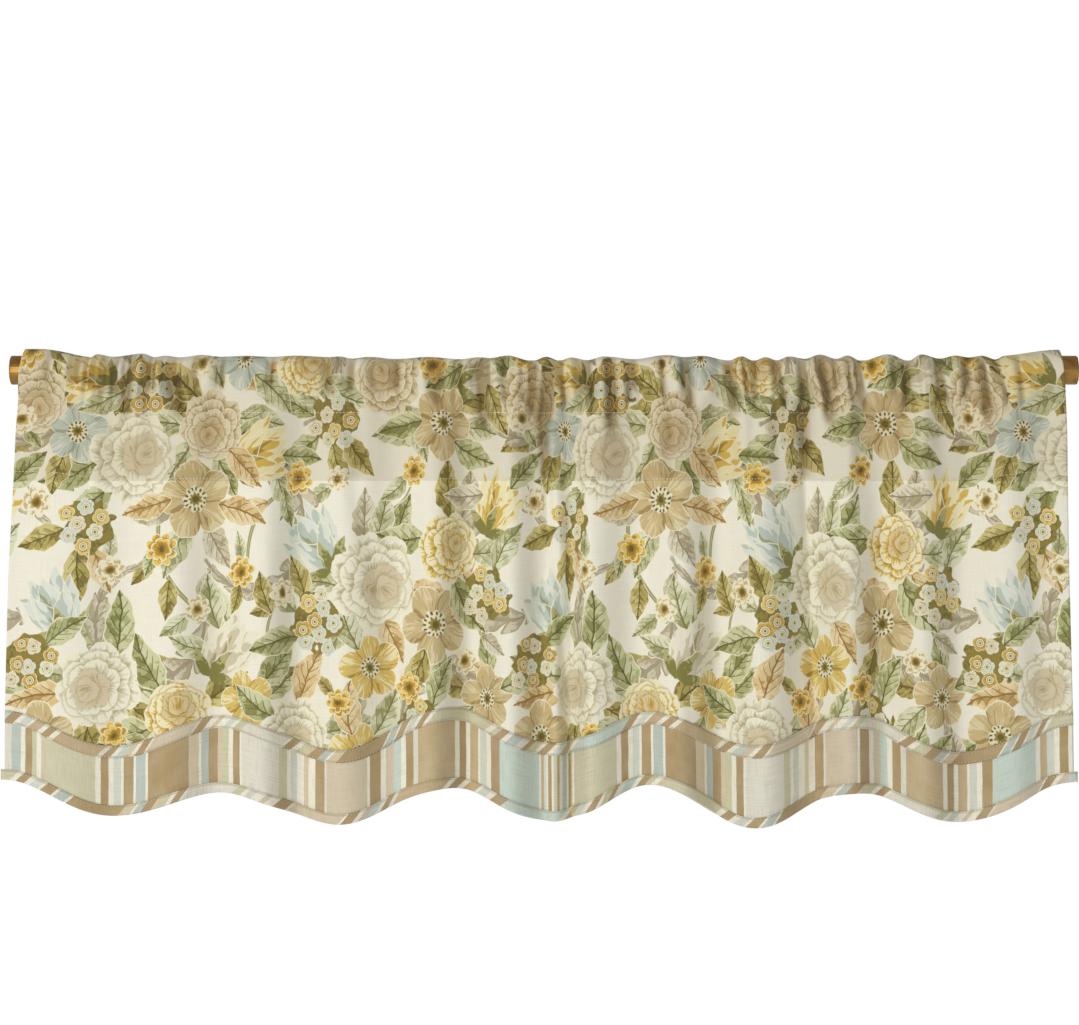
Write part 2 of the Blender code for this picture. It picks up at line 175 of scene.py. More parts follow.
# Creases of the heading: x at the top, x at the foot, top height, foot height, half width, depth
# (minus is a ridge)
CREASES = (
    (-484.0, -480.0, 10.0, -20.0, 4.5, 2.6),
    (-470.0, -474.0, 12.0, -26.0, 4.0, -2.2),
    (-455.0, -453.0, 9.0, -16.0, 5.0, 4.2),
    (-443.0, -445.0, 10.0, -34.0, 4.0, -2.8),
    (-431.5, -429.0, 8.0, -36.0, 3.2, 3.2),
    (-419.0, -412.0, 10.0, -30.0, 4.6, 4.6),
    (-410.0, -402.0, 10.0, -34.0, 3.4, -3.0),
    (-401.6, -405.0, 6.0, -50.0, 5.0, 5.4),
    (-392.0, -391.0, 8.0, -38.0, 3.8, -3.4),
    (-384.2, -388.0, 6.0, -44.0, 3.4, 3.6),
    (-374.0, -368.0, 12.0, -40.0, 4.2, -3.2),
    (-366.4, -347.6, 6.0, -50.0, 6.0, 5.4),
    (-356.0, -338.0, 12.0, -38.0, 3.8, -3.2),
    (-340.8, -334.0, 6.0, -34.0, 4.0, 3.4),
    (-324.0, -322.0, 12.0, -24.0, 5.0, -1.6),
    (-208.6, -207.0, 10.0, -30.0, 8.0, 2.5),
    (-191.2, -188.0, 8.0, -26.0, 3.4, 2.4),
    (-180.0, -176.0, 10.0, -24.0, 3.4, -1.8),
    (-168.0, -164.0, 8.0, -30.0, 4.0, 2.4),
    (-150.0, -148.0, 10.0, -22.0, 5.0, 1.6),
    (-128.0, -126.0, 10.0, -26.0, 4.0, -1.8),
    (-112.0, -110.0, 12.0, -30.0, 3.6, 2.2),
    (-101.0, -104.0, 8.0, -42.0, 6.0, 3.8),
    (-88.0, -92.0, 10.0, -36.0, 4.0, -2.6),
    (-75.4, -70.0, 6.0, -52.0, 4.0, -3.6),
    (-62.9, -57.0, 8.0, -64.0, 6.0, 5.0),
    (-50.0, -44.0, 8.0, -46.0, 4.0, -3.0),
    (-40.0, -38.0, 8.0, -40.0, 3.6, 3.2),
    (-24.0, -26.0, 10.0, -36.0, 4.0, -2.4),
    (-10.8, -14.0, 6.0, -54.0, 3.6, 4.2),
    (-3.0, -6.0, 6.0, -44.0, 3.0, -3.0),
    (5.6, 3.0, 0.0, -58.0, 5.0, 5.2),
    (15.3, 20.0, 8.0, -44.0, 3.4, 3.8),
    (24.0, 28.0, 8.0, -40.0, 3.6, -2.8),
    (34.0, 36.0, 6.0, -34.0, 3.4, 2.6),
    (42.3, 46.0, 8.0, -36.0, 3.8, 3.6),
    (54.0, 56.0, 8.0, -40.0, 4.0, -2.8),
    (64.5, 66.0, 4.0, -70.0, 6.6, 5.0),
    (74.0, 76.0, 6.0, -44.0, 3.6, -2.6),
    (83.5, 80.0, 8.0, -40.0, 3.2, 3.2),
    (100.0, 100.0, 10.0, -26.0, 5.0, -1.6),
    (113.7, 116.0, 8.0, -34.0, 3.4, 2.8),
    (126.0, 128.0, 10.0, -30.0, 3.8, -2.2),
    (137.5, 141.0, 6.0, -44.0, 5.4, 4.2),
    (160.0, 158.0, 10.0, -30.0, 5.0, -1.8),
    (180.0, 183.0, 8.0, -50.0, 5.4, 4.4),
    (193.8, 196.0, 6.0, -34.0, 3.2, 3.0),
    (204.4, 202.0, 8.0, -42.0, 3.4, 3.4),
    (215.0, 218.0, 8.0, -36.0, 3.8, -3.0),
    (226.6, 232.0, 8.0, -44.0, 3.4, 3.6),
    (239.0, 242.0, 8.0, -36.0, 3.6, -2.8),
    (251.7, 254.0, 8.0, -46.0, 3.8, 3.8),
    (257.0, 268.0, 8.0, -44.0, 3.6, -3.2),
    (266.0, 279.0, 10.0, -60.0, 5.4, 6.0),
    (282.0, 292.0, 10.0, -42.0, 3.8, -3.0),
    (294.0, 296.0, 8.0, -34.0, 3.4, 2.6),
    (304.8, 308.0, 8.0, -46.0, 3.8, 3.6),
    (318.0, 320.0, 10.0, -34.0, 4.4, -2.4),
    (338.0, 336.0, 8.0, -30.0, 4.0, 2.2),
    (352.0, 347.0, 8.0, -46.0, 3.8, 3.8),
    (366.0, 362.0, 8.0, -36.0, 4.2, -2.6),
    (383.0, 387.0, 8.0, -36.0, 5.0, 3.8),
    (396.0, 396.0, 8.0, -26.0, 4.0, -1.8),
    (406.0, 405.0, 8.0, -34.0, 3.2, 2.6),
    (425.4, 428.0, 8.0, -52.0, 5.4, 4.8),
    (434.0, 438.0, 8.0, -40.0, 3.4, -2.8),
    (441.0, 446.0, 6.0, -40.0, 3.0, 3.0),
    (459.0, 461.0, 8.0, -38.0, 3.6, 2.6),
    (474.0, 476.0, 10.0, -24.0, 4.4, -1.6),
    (-3.0, 31.0, -30.0, -452.0, 5.5, 4.4),
    (251.0, 268.0, -44.0, -452.0, 6.0, 3.2),
    (-182.0, -112.0, -120.0, -452.0, 9.0, 2.2),
    (118.0, 150.0, -80.0, -452.0, 8.0, 2.0),
)

# Long folds: x at the pocket, x at the hem, depth at the hem (minus is towards the room)
FOLDS = (
    (-504.0, -521.0, 0.0),
    (-455.0, -468.0, -6.5),
    (-400.0, -409.0, 4.5),
    (-352.0, -358.0, -9.0),
    (-312.0, -318.0, 8.0),
    (-268.0, -272.0, -13.5),
    (-232.0, -235.5, 12.5),
    (-190.0, -192.0, -9.5),
    (-144.0, -147.0, 9.5),
    (-104.0, -110.0, -14.5),
    (-70.0, -71.5, 13.5),
    (-31.0, -33.0, -14.5),
    (0.0, 0.5, 8.5),
    (10.0, 11.0, 0.5),
    (26.0, 27.0, 14.0),
    (46.0, 47.0, -11.0),
    (88.0, 92.5, 9.5),
    (130.0, 134.0, -14.0),
    (168.0, 172.0, 14.0),
    (208.0, 213.0, -15.5),
    (258.0, 264.0, 15.0),
    (290.0, 296.0, -13.0),
    (328.0, 332.0, 12.0),
    (362.0, 367.5, -12.5),
    (402.0, 409.0, 11.0),
    (448.0, 455.0, -8.5),
    (482.0, 488.0, 3.0),
    (504.0, 512.0, -1.5),
)

# Scallops: x of each crest and trough, height of the trim's upper edge, height of the hem
SCALLOPS = (
    (-524.0, -328.5, -395.5),
    (-416.5, -363.2, -431.0),
    (-311.8, -334.0, -408.6),
    (-199.6, -366.8, -438.4),
    (-93.0, -325.8, -403.8),
    (8.0, -360.5, -436.2),
    (106.5, -330.2, -401.0),
    (199.0, -362.2, -441.6),
    (300.5, -333.4, -408.2),
    (403.0, -369.6, -437.4),
    (515.0, -330.8, -397.8),
)

# The print repeats every so many millimetres across and down the flat cloth
REPEAT_WIDE = 555.0
REPEAT_HIGH = 520.0
FACE_REACH = 6.0

# Flowers of one repeat, in bouquets: kind, across, down, radius, turn in degrees, tint from 0 to 1
FLOWERS = (
    ("peony", 118.0, 104.0, 47.0, 20.0, 0.1),
    ("peony", 199.0, 73.0, 36.0, 150.0, 0.9),
    ("peony", 388.0, 222.0, 50.0, 75.0, 0.1),
    ("peony", 473.0, 191.0, 37.0, 10.0, 0.5),
    ("peony", 92.0, 324.0, 44.0, 200.0, 0.1),
    ("peony", 172.0, 353.0, 37.0, 310.0, 0.5),
    ("peony", 398.0, 28.0, 39.0, 260.0, 0.9),
    ("peony", 300.0, 372.0, 41.0, 120.0, 0.1),
    ("peony", 480.0, 440.0, 42.0, 60.0, 0.1),
    ("peony", 160.0, 480.0, 40.0, 0.0, 0.5),
    ("blossom", 184.0, 144.0, 40.0, 10.0, 0.1),
    ("blossom", 62.0, 78.0, 33.0, 40.0, 0.9),
    ("blossom", 458.0, 264.0, 41.0, 70.0, 0.1),
    ("blossom", 384.0, 306.0, 34.0, 15.0, 0.5),
    ("blossom", 34.0, 374.0, 37.0, 25.0, 0.1),
    ("blossom", 462.0, 70.0, 38.0, 55.0, 0.1),
    ("blossom", 246.0, 338.0, 31.0, 80.0, 0.5),
    ("blossom", 372.0, 392.0, 35.0, 30.0, 0.5),
    ("blossom", 66.0, 480.0, 36.0, 10.0, 0.9),
    ("blossom", 228.0, 452.0, 35.0, 45.0, 0.1),
    ("blossom", 524.0, 336.0, 33.0, 20.0, 0.1),
    ("cluster", 132.0, 34.0, 32.0, 0.0, 0.3),
    ("cluster", 76.0, 168.0, 31.0, 30.0, 0.6),
    ("cluster", 326.0, 262.0, 34.0, 60.0, 0.1),
    ("cluster", 524.0, 236.0, 32.0, 20.0, 0.8),
    ("cluster", 142.0, 402.0, 31.0, 80.0, 0.5),
    ("cluster", 338.0, 66.0, 31.0, 50.0, 0.2),
    ("cluster", 420.0, 466.0, 32.0, 50.0, 0.2),
    ("cluster", 22.0, 300.0, 30.0, 10.0, 0.7),
    ("cluster", 440.0, 360.0, 30.0, 40.0, 0.4),
    ("tulip", 258.0, 98.0, 42.0, 65.0, 0.5),
    ("tulip", 318.0, 182.0, 45.0, 318.0, 0.9),
    ("tulip", 226.0, 286.0, 43.0, 38.0, 0.1),
    ("tulip", 510.0, 14.0, 40.0, 60.0, 0.1),
    ("tulip", 534.0, 146.0, 40.0, 25.0, 0.5),
    ("tulip", 548.0, 428.0, 38.0, 300.0, 0.1),
    ("tulip", 44.0, 244.0, 40.0, 335.0, 0.9),
    ("daisy", 152.0, 192.0, 18.0, 0.0, 0.1),
    ("daisy", 100.0, 212.0, 15.0, 20.0, 0.5),
    ("daisy", 24.0, 146.0, 17.0, 5.0, 0.5),
    ("daisy", 300.0, 124.0, 18.0, 40.0, 0.1),
    ("daisy", 284.0, 234.0, 16.0, 15.0, 0.5),
    ("daisy", 428.0, 326.0, 17.0, 30.0, 0.1),
    ("daisy", 496.0, 300.0, 15.0, 25.0, 0.5),
    ("daisy", 238.0, 214.0, 17.0, 10.0, 0.1),
    ("daisy", 190.0, 250.0, 15.0, 35.0, 0.5),
    ("daisy", 430.0, 116.0, 17.0, 50.0, 0.1),
    ("daisy", 560.0, 66.0, 16.0, 25.0, 0.5),
    ("daisy", 352.0, 340.0, 15.0, 25.0, 0.1),
    ("daisy", 246.0, 396.0, 16.0, 25.0, 0.1),
    ("daisy", 106.0, 372.0, 15.0, 5.0, 0.1),
    ("daisy", 346.0, 124.0, 14.0, 25.0, 0.5),
    ("blossom", 232.0, 8.0, 33.0, 0.0, 0.9),
    ("peony", 302.0, 12.0, 36.0, 40.0, 0.5),
    ("daisy", 450.0, 14.0, 18.0, 20.0, 0.1),
    ("tulip", 66.0, 26.0, 36.0, 280.0, 0.5),
    ("daisy", 186.0, 14.0, 16.0, 20.0, 0.5),
    ("peony", 16.0, 46.0, 37.0, 100.0, 0.9),
    ("daisy", 8.0, 4.0, 17.0, 10.0, 0.1),
)

# Arching fronds of one repeat: across, down, arch radius, turn in degrees
FRONDS = (
    (250.0, 172.0, 60.0, 20.0),
    (548.0, 204.0, 56.0, 200.0),
    (142.0, 262.0, 56.0, 130.0),
    (288.0, 20.0, 54.0, 300.0),
    (14.0, 34.0, 52.0, 60.0),
    (474.0, 362.0, 56.0, 250.0),
    (320.0, 462.0, 54.0, 80.0),
)

# Leaves round each kind of flower: how many, how far out they start (in radii), length
LEAVES_ROUND = {
    "peony": (11, 0.70, 64.0),
    "blossom": (8, 0.60, 58.0),
    "cluster": (8, 0.72, 54.0),
    "tulip": (6, 0.48, 56.0),
    "daisy": (3, 0.60, 36.0),
}

# Sprigs of one repeat: start across and down, end across and down, bow, number of leaves
SPRIGS = (
    (150.0, 150.0, 192.0, 252.0, 0.16, 6),
    (276.0, 300.0, 284.0, 236.0, -0.20, 4),
    (300.0, 126.0, 246.0, 210.0, 0.20, 5),
    (476.0, 240.0, 520.0, 300.0, -0.16, 4),
    (70.0, 170.0, 104.0, 214.0, 0.20, 3),
    (92.0, 300.0, 60.0, 262.0, 0.15, 3),
    (18.0, 100.0, 26.0, 146.0, 0.20, 3),
    (250.0, 400.0, 300.0, 440.0, 0.20, 4),
    (388.0, 158.0, 430.0, 116.0, 0.18, 4),
    (20.0, 400.0, 90.0, 430.0, 0.20, 4),
    (520.0, 30.0, 562.0, 70.0, -0.20, 4),
    (440.0, 300.0, 428.0, 384.0, 0.15, 4),
)
LEAF_LAYERS = ("leaf_back", "leaf_middle", "leaf_front")
LEAF_HALF_WIDTH = 0.25
MOTIF_MARGIN = 3.0
LEAF_TINTS = (0.1, 0.1, 0.3, 0.3, 0.5, 0.5, 0.7, 0.9)

# The striped cloth, from the left side seam: width of each bar and its dye
STRIPES = (
    (5.0, "pale"), (11.0, "slate"), (4.0, "cream"), (7.5, "brown"), (5.0, "moss"), (4.5, "cream"),
    (6.0, "sand"),
    (50.0, "sage"),
    (5.0, "cream"), (6.5, "brown"), (3.5, "cream"), (8.0, "mist"), (3.5, "cream"), (8.0, "brown"),
    (4.0, "cream"), (8.0, "slate"), (4.0, "cream"),
    (43.0, "brown"),
    (8.0, "rose"), (4.0, "cream"), (7.0, "slate"), (8.0, "brown"), (5.0, "rose"), (8.0, "moss"),
    (5.0, "cream"), (7.0, "brown"), (3.0, "cream"),
    (41.0, "pale"),
    (7.0, "moss"), (4.0, "cream"), (6.0, "mist"), (6.0, "cream"), (6.0, "rose"), (5.0, "cream"),
    (10.0, "brown"), (3.0, "pale"),
    (42.0, "sand"),
    (4.0, "cream"), (8.0, "brown"), (5.0, "cream"), (8.0, "sand"), (7.0, "aqua"), (4.0, "cream"),
    (8.0, "brown"), (5.0, "pale"),
    (43.0, "tan"),
    (5.0, "cream"), (7.0, "brown"), (6.0, "cream"), (8.0, "tan"), (4.0, "cream"), (7.0, "mist"),
    (5.0, "cream"), (8.0, "brown"),
    (50.0, "aqua"),
    (5.0, "cream"), (8.0, "tan"), (8.0, "mist"), (4.0, "cream"), (9.0, "brown"), (4.0, "cream"),
    (6.0, "moss"), (6.0, "brown"),
)

# Where the wide bars hang at the hem, x of their left and right edges, over two repeats
WIDE_BARS = (
    (-480.7, -434.4), (-382.3, -343.7), (-291.6, -256.8), (-210.5, -173.8), (-121.7, -88.0),
    (-43.6, -5.9), (31.7, 69.3), (117.6, 145.6), (194.8, 230.5), (272.9, 299.0), (349.2, 382.9),
    (432.2, 472.7),
)
WIDE_BAR_LEAST = 40.0

DYES_AND_PAINTED_SHADES = {
    "ground": "#E7E3D1",
    "cream": "#E9E5D3",
    "sage": "#C9C5A6",
    "brown": "#A88F65",
    "sand": "#CDBFA5",
    "pale": "#DAD6C6",
    "tan": "#BCA67F",
    "aqua": "#C0CFC3",
    "mist": "#CDD1C3",
    "rose": "#CFC0A2",
    "slate": "#B4BFB6",
    "moss": "#C5C4A0",
    "outline": "#E9E2C4",
    "thread": "#DED4B6",
    "stem": "#8C8752",
    "stem light": "#B9B483",
    # Painted shades, not dyes: the colour that darkens the creases of the gathers, and the one that
    # darkens the two-layer heading where less light comes through it
    "painted_crease_shade": "#BDB199",
    "double_layer_shade": "#EEEBE6",
}


def dye(name):
    """A named dye or painted shade, or a #RRGGBB colour, as linear red, green, blue and alpha."""
    text = DYES_AND_PAINTED_SHADES.get(name, name).lstrip("#")
    shares = [int(text[i : i + 2], 16) / 255.0 for i in (0, 2, 4)]
    return (*(c / 12.92 if c <= 0.04045 else ((c + 0.055) / 1.055) ** 2.4 for c in shares), 1.0)


class Field:
    """A shader socket on which arithmetic adds Math nodes."""

    def __init__(self, graph, socket):
        self.graph = graph
        self.socket = socket

    def math(self, operation, *others):
        """A Math node of this value and the others, in that order."""
        values = dict(enumerate((self, *others)))
        return self.graph.node("ShaderNodeMath", {"operation": operation}, values)

    def __add__(self, other):
        return self.math("ADD", other)

    __radd__ = __add__

    def __sub__(self, other):
        return self.math("SUBTRACT", other)

    def __rsub__(self, other):
        return (self * -1.0).math("ADD", other)

    def __mul__(self, other):
        return self.math("MULTIPLY", other)

    __rmul__ = __mul__

    def __truediv__(self, other):
        return self.math("DIVIDE", other)

    def __pow__(self, other):
        return self.math("POWER", other)

    def times_plus(self, factor, added):
        """This value times a factor, plus another, in one node."""
        return self.math("MULTIPLY_ADD", factor, added)

    def size(self):
        """Its absolute value."""
        return self.math("ABSOLUTE")

    def least(self, other):
        return self.math("MINIMUM", other)

    def most(self, other):
        return self.math("MAXIMUM", other)

    def over(self, limit, soft=0.02):
        """1 where it is more than a limit and 0 below, with a soft step of this width."""
        settings = {"clamp": True}
        values = {0: self, 1: limit - soft / 2.0, 2: limit + soft / 2.0, 3: 0.0, 4: 1.0}
        return self.graph.node("ShaderNodeMapRange", settings, values)


class Graph:
    """The node tree of one material."""

    def __init__(self, name):
        self.material = bpy.data.materials.new(name)
        self.material.use_nodes = True
        self.tree = self.material.node_tree
        self.shader = self.tree.nodes["Principled BSDF"]

    def node(self, kind, settings=None, values=None, out=0):
        """A node with its settings made first, then the values or links of its sockets."""
        made = self.tree.nodes.new(kind)
        for key, setting in (settings or {}).items():
            if key == "stops":
                self.set_stops(made.color_ramp, setting)
            elif key == "interpolation":
                made.color_ramp.interpolation = setting
            else:
                setattr(made, key, setting)
        for key, value in (values or {}).items():
            self.put(made.inputs[key], value)
        return Field(self, made.outputs[out])

    def put(self, socket, value):
        """Links a field to a socket, or sets its value."""
        if isinstance(value, Field):
            self.tree.links.new(value.socket, socket)
        else:
            socket.default_value = value

    def set_stops(self, ramp, stops):
        """Gives a ramp its (position, colour) stops."""
        while len(ramp.elements) < len(stops):
            ramp.elements.new(0.5)
        for element, (position, colour) in zip(ramp.elements, stops):
            element.position = position
            element.color = dye(colour)

    def mix(self, factor, under, over):
        """One colour over another."""
        under = dye(under) if isinstance(under, str) else under
        over = dye(over) if isinstance(over, str) else over
        return self.node("ShaderNodeMix", {"data_type": "RGBA"}, {0: factor, 6: under, 7: over}, out=2)

    def by_tint(self, tint, colours):
        """One of several colours, chosen by a tint from 0 to 1 without blending."""
        stops = [(i / len(colours), colour) for i, colour in enumerate(colours)]
        return self.node("ShaderNodeValToRGB", {"interpolation": "CONSTANT", "stops": stops}, {0: tint})

    def noise(self, place, scale, detail, out=0):
        """Cloudy noise from 0 to 1, or three of them as a vector when out is 1."""
        values = {"Vector": place, "Scale": scale, "Detail": detail}
        return self.node("ShaderNodeTexNoise", None, values, out)

    def split(self, vector):
        """The three parts of a vector."""
        made = self.tree.nodes.new("ShaderNodeSeparateXYZ")
        self.put(made.inputs[0], vector)
        return [Field(self, socket) for socket in made.outputs]

    def join(self, x, y, z=0.0):
        """A vector of three parts."""
        return self.node("ShaderNodeCombineXYZ", None, {0: x, 1: y, 2: z})

    def length(self, x, y):
        """How long a flat vector is."""
        return self.node("ShaderNodeVectorMath", {"operation": "LENGTH"}, {0: self.join(x, y)}, out=1)

    def stamp(self, name):
        """A motif's own x, y and tint as they are stamped on the faces, and its spare number."""
        vector = self.node("ShaderNodeAttribute", {"attribute_name": name}, out=1)
        spare = self.node("ShaderNodeAttribute", {"attribute_name": name}, out=3)
        return (*self.split(vector), spare)


def smooth_step(t):
    """0 below 0, 1 above 1 and an even S curve between."""
    t = np.clip(t, 0.0, 1.0)
    return t * t * (3.0 - 2.0 * t)


def wave_through(x, turning_x, turning_value):
    """A half cosine from each turning point to the next. The turning points may differ by point."""
    x = np.asarray(x, float)
    turning_x = np.broadcast_to(turning_x, (*x.shape, np.shape(turning_x)[-1]))
    after = np.clip((x[..., None] > turning_x).sum(axis=-1), 1, turning_x.shape[-1] - 1)
    start = np.take_along_axis(turning_x, (after - 1)[..., None], -1)[..., 0]
    end = np.take_along_axis(turning_x, after[..., None], -1)[..., 0]
    blend = 0.5 - 0.5 * np.cos(np.pi * np.clip((x - start) / (end - start), 0.0, 1.0))
    value = np.asarray(turning_value, float)
    return value[after - 1] + (value[after] - value[after - 1]) * blend


def side_edges(z):
    """Left and right x of the cloth at a height."""
    heights, left, right = np.array(SIDE_EDGES[::-1]).T
    return np.interp(z, heights, left), np.interp(z, heights, right)


def inward_distance(x, side):
    """How far x is in from the top corner on one side."""
    left, right = side_edges(0.0)
    return x - left if side == "left" else right - x


def end_rise(x):
    """Height that the pocket gains where it opens at its two ends."""
    total = 0.0
    for side, (height, full, reach) in END_RISES.items():
        total = total + height * (1.0 - smooth_step((inward_distance(x, side) - full) / (reach - full)))
    return total


def end_weight(x):
    """1 at either end of the pocket and 0 away from both."""
    nearest = np.minimum(inward_distance(x, "left"), inward_distance(x, "right"))
    return 1.0 - smooth_step((nearest - END_FULL) / (END_REACH - END_FULL))


def ruffle(x):
    """How far the gathered top stands above (or below) its mean height."""
    turning = np.array(RUFFLES).reshape(-1, 2)
    left, right = side_edges(0.0)
    turning_x = np.concatenate([[left], turning[:, 0], [right]])
    turning_z = np.concatenate([[TOP_MEAN], turning[:, 1], [TOP_MEAN]])
    return wave_through(x, turning_x, turning_z) - TOP_MEAN


def crease(x, z):
    """Depth of the heading's creases: depth * exp(-((x - middle) / half width) ** 2), where the
    middle leans from the top to the foot, and both ends fade. The top is also pinched where its
    ruffles dip."""
    total = np.zeros(np.broadcast(x, z).shape)
    pinches = [(row[0], row[0], PINCH_TOP, PINCH_FOOT, PINCH_HALF_WIDTH, PINCH_DEPTH) for row in RUFFLES]
    for top_x, foot_x, top_z, foot_z, half_width, depth in (*CREASES, *pinches):
        share = (top_z - z) / (top_z - foot_z)
        middle = top_x + (foot_x - top_x) * np.clip(share, 0.0, 1.0)
        along = smooth_step(share / CREASE_START + 1.0) * smooth_step((1.0 - share) / CREASE_FADE)
        total = total + CREASE_GAIN * depth * along * np.exp(-(((x - middle) / half_width) ** 2))
    return total


def share_below_stitch(z, end_z):
    """0 at the pocket's stitch line and 1 at another height under it."""
    return (POCKET_STITCH_Z - z) / (POCKET_STITCH_Z - end_z)


def long_fold(x, z):
    """Depth of the long folds, whose lines run from the pocket stitch to the hem."""
    at_pocket, at_hem, depth = np.array(FOLDS).T
    down = np.clip(share_below_stitch(z, SCALLOPS[1][2]), 0.0, 1.0)
    strength = FOLD_AT_STITCH + (1.0 - FOLD_AT_STITCH) * smooth_step(share_below_stitch(z, FOLD_FULL_Z))
    lines = at_pocket + (at_hem - at_pocket) * np.asarray(down)[..., None]
    return wave_through(x, lines, depth) * strength


def slack(x, z):
    """Small unevenness of the hanging cloth: 0.35 mm waves that cross at a slant."""
    return 0.35 * np.sin(x / 13.0 + z / 41.0) * np.sin(z / 33.0 - x / 57.0 + 1.3)


def hang_depth(x, z):
    """Y of the cloth's back surface below the pocket: ruffles fading out, folds growing in."""
    fade = RUFFLE_AT_STITCH * (1.0 - smooth_step(share_below_stitch(z, RUFFLE_FADE_Z)))
    return long_fold(x, z) - ruffle(x) * fade + crease(x, z) + slack(x, z)


def pocket_stitch_z(x):
    """Height of the pocket's stitch line, which climbs at the open ends."""
    return POCKET_STITCH_Z + STITCH_END_RISE * end_weight(x)


def scallop_line(x, column):
    """Height of the trim's upper edge (column 1) or of the hem (column 2)."""
    table = np.array(SCALLOPS)
    return wave_through(x, table[:, 0], table[:, column])


def below(column, x, distance):
    """Height of a line drawn this far under a scalloped one, square to it."""
    slope = (scallop_line(x + 1.0, column) - scallop_line(x - 1.0, column)) / 2.0
    return scallop_line(x, column) - distance * np.sqrt(1.0 + slope**2)


def x_at(shares, z):
    """X of each column at a height."""
    left, right = side_edges(z)
    return left + shares * (right - left)


def hanging_row(shares, z, offset):
    """A row of the hanging cloth, this far in front of (minus) or behind its back surface, moved
    along the mitre of the two runs that meet at each point."""
    z = np.broadcast_to(z, shares.shape)
    x = x_at(shares, z)
    y = hang_depth(x, z)
    run = np.stack([np.diff(x), np.diff(y)], axis=1)
    run /= np.linalg.norm(run, axis=1)[:, None]
    square = np.stack([-run[:, 1], run[:, 0]], axis=1)
    before = np.concatenate([square[:1], square])
    after = np.concatenate([square, square[-1:]])
    mitre = (before + after) / (1.0 + np.sum(before * after, axis=1))[:, None]
    return np.stack([x + offset * mitre[:, 0], y + offset * mitre[:, 1], z], axis=1)


def pocket_radii(x):
    """Distances from the rod's axis to the middle of the cloth at its front, top and back."""
    closest = ROD_RADIUS + ROD_TO_CLOTH
    raised = ruffle(x) + end_rise(x)
    top = TOP_MEAN + raised - PANEL_THICKNESS / 2.0
    front = POCKET_FRONT + FRONT_SWELL * raised - crease(x, 0.0)
    back = POCKET_BACK + BACK_SWELL * raised
    at_ends = POCKET_END * end_weight(x)
    return (
        np.clip(front, np.maximum(closest, at_ends), POCKET_END + 1.0),
        np.maximum(top, closest),
        np.clip(back, np.maximum(closest, at_ends), POCKET_END),
    )


def pocket_arc_row(shares, angle):
    """A row of the cloth over the rod: 0 degrees at the front, 90 on top and 180 at the back."""
    front, top, back = pocket_radii(x_at(shares, 0.0))
    side = front if angle <= 90.0 else back
    across = math.cos(math.radians(angle)) ** 2
    radius = side * across + top * (1.0 - across)
    y = -radius * math.cos(math.radians(angle))
    z = radius * math.sin(math.radians(angle))
    return np.stack([x_at(shares, z), y, z], axis=1)


def pocket_leg_row(shares, share_down, at_front):
    """A row of the teardrop's straight side, from the rod's level down to the pocket stitch."""
    x = x_at(shares, 0.0)
    front, _, back = pocket_radii(x)
    stitch = pocket_stitch_z(x)
    z = stitch * share_down
    foot_offset = -PANEL_THICKNESS / 2.0 if at_front else LAYER_GAP + PANEL_THICKNESS / 2.0
    foot = hanging_row(shares, stitch, foot_offset)[:, 1]
    rod_level = -front if at_front else back
    blend = share_down**TEARDROP_POWER
    y = rod_level * (1.0 - blend) + foot * blend
    if at_front:
        y = y + crease(x, z) - crease(x, 0.0) * (1.0 - blend) - crease(x, stitch) * blend
    return np.stack([x_at(shares, z), y, z], axis=1)


def flat_across(shares):
    """How far each column is from the left side of the flat cloth: the length along the folds at
    the scallops, scaled to the flat width."""
    row = hanging_row(shares, SCALLOP_LEVEL_Z, 0.0)
    along = np.concatenate([[0.0], np.cumsum(np.linalg.norm(np.diff(row, axis=0), axis=1))])
    return along * FLAT_WIDTH / along[-1]


def crease_shade_strength(x, z):
    """How strongly painted shade darkens a place on the front, standing in for the shade in the
    creases of the gathers: the creases' depth, from 0 to 1, which fades under the heading."""
    return np.clip(crease(x, z) / CREASE_SHADE_FULL, 0.0, 1.0) * smooth_step((z - CREASE_SHADE_END_Z) / CREASE_SHADE_FADE)


def stripe_place(x):
    """How far along the striped cloth each place of the hem is: the wide bars lie where they hang,
    and the cloth between them is spread evenly."""
    ends = np.concatenate([[0.0], np.cumsum([width for width, _ in STRIPES])])
    wide = [number for number, (width, _) in enumerate(STRIPES) if width > WIDE_BAR_LEAST]
    flats = [repeat * ends[-1] + ends[bar + side] for repeat in (0, 1) for bar in wide for side in (0, 1)]
    places = np.ravel(WIDE_BARS)
    left, right = SIDE_EDGES[-1][1:]
    return np.interp(x, [left, *places, right], [0.0, *flats, flats[-1] + right - places[-1]])


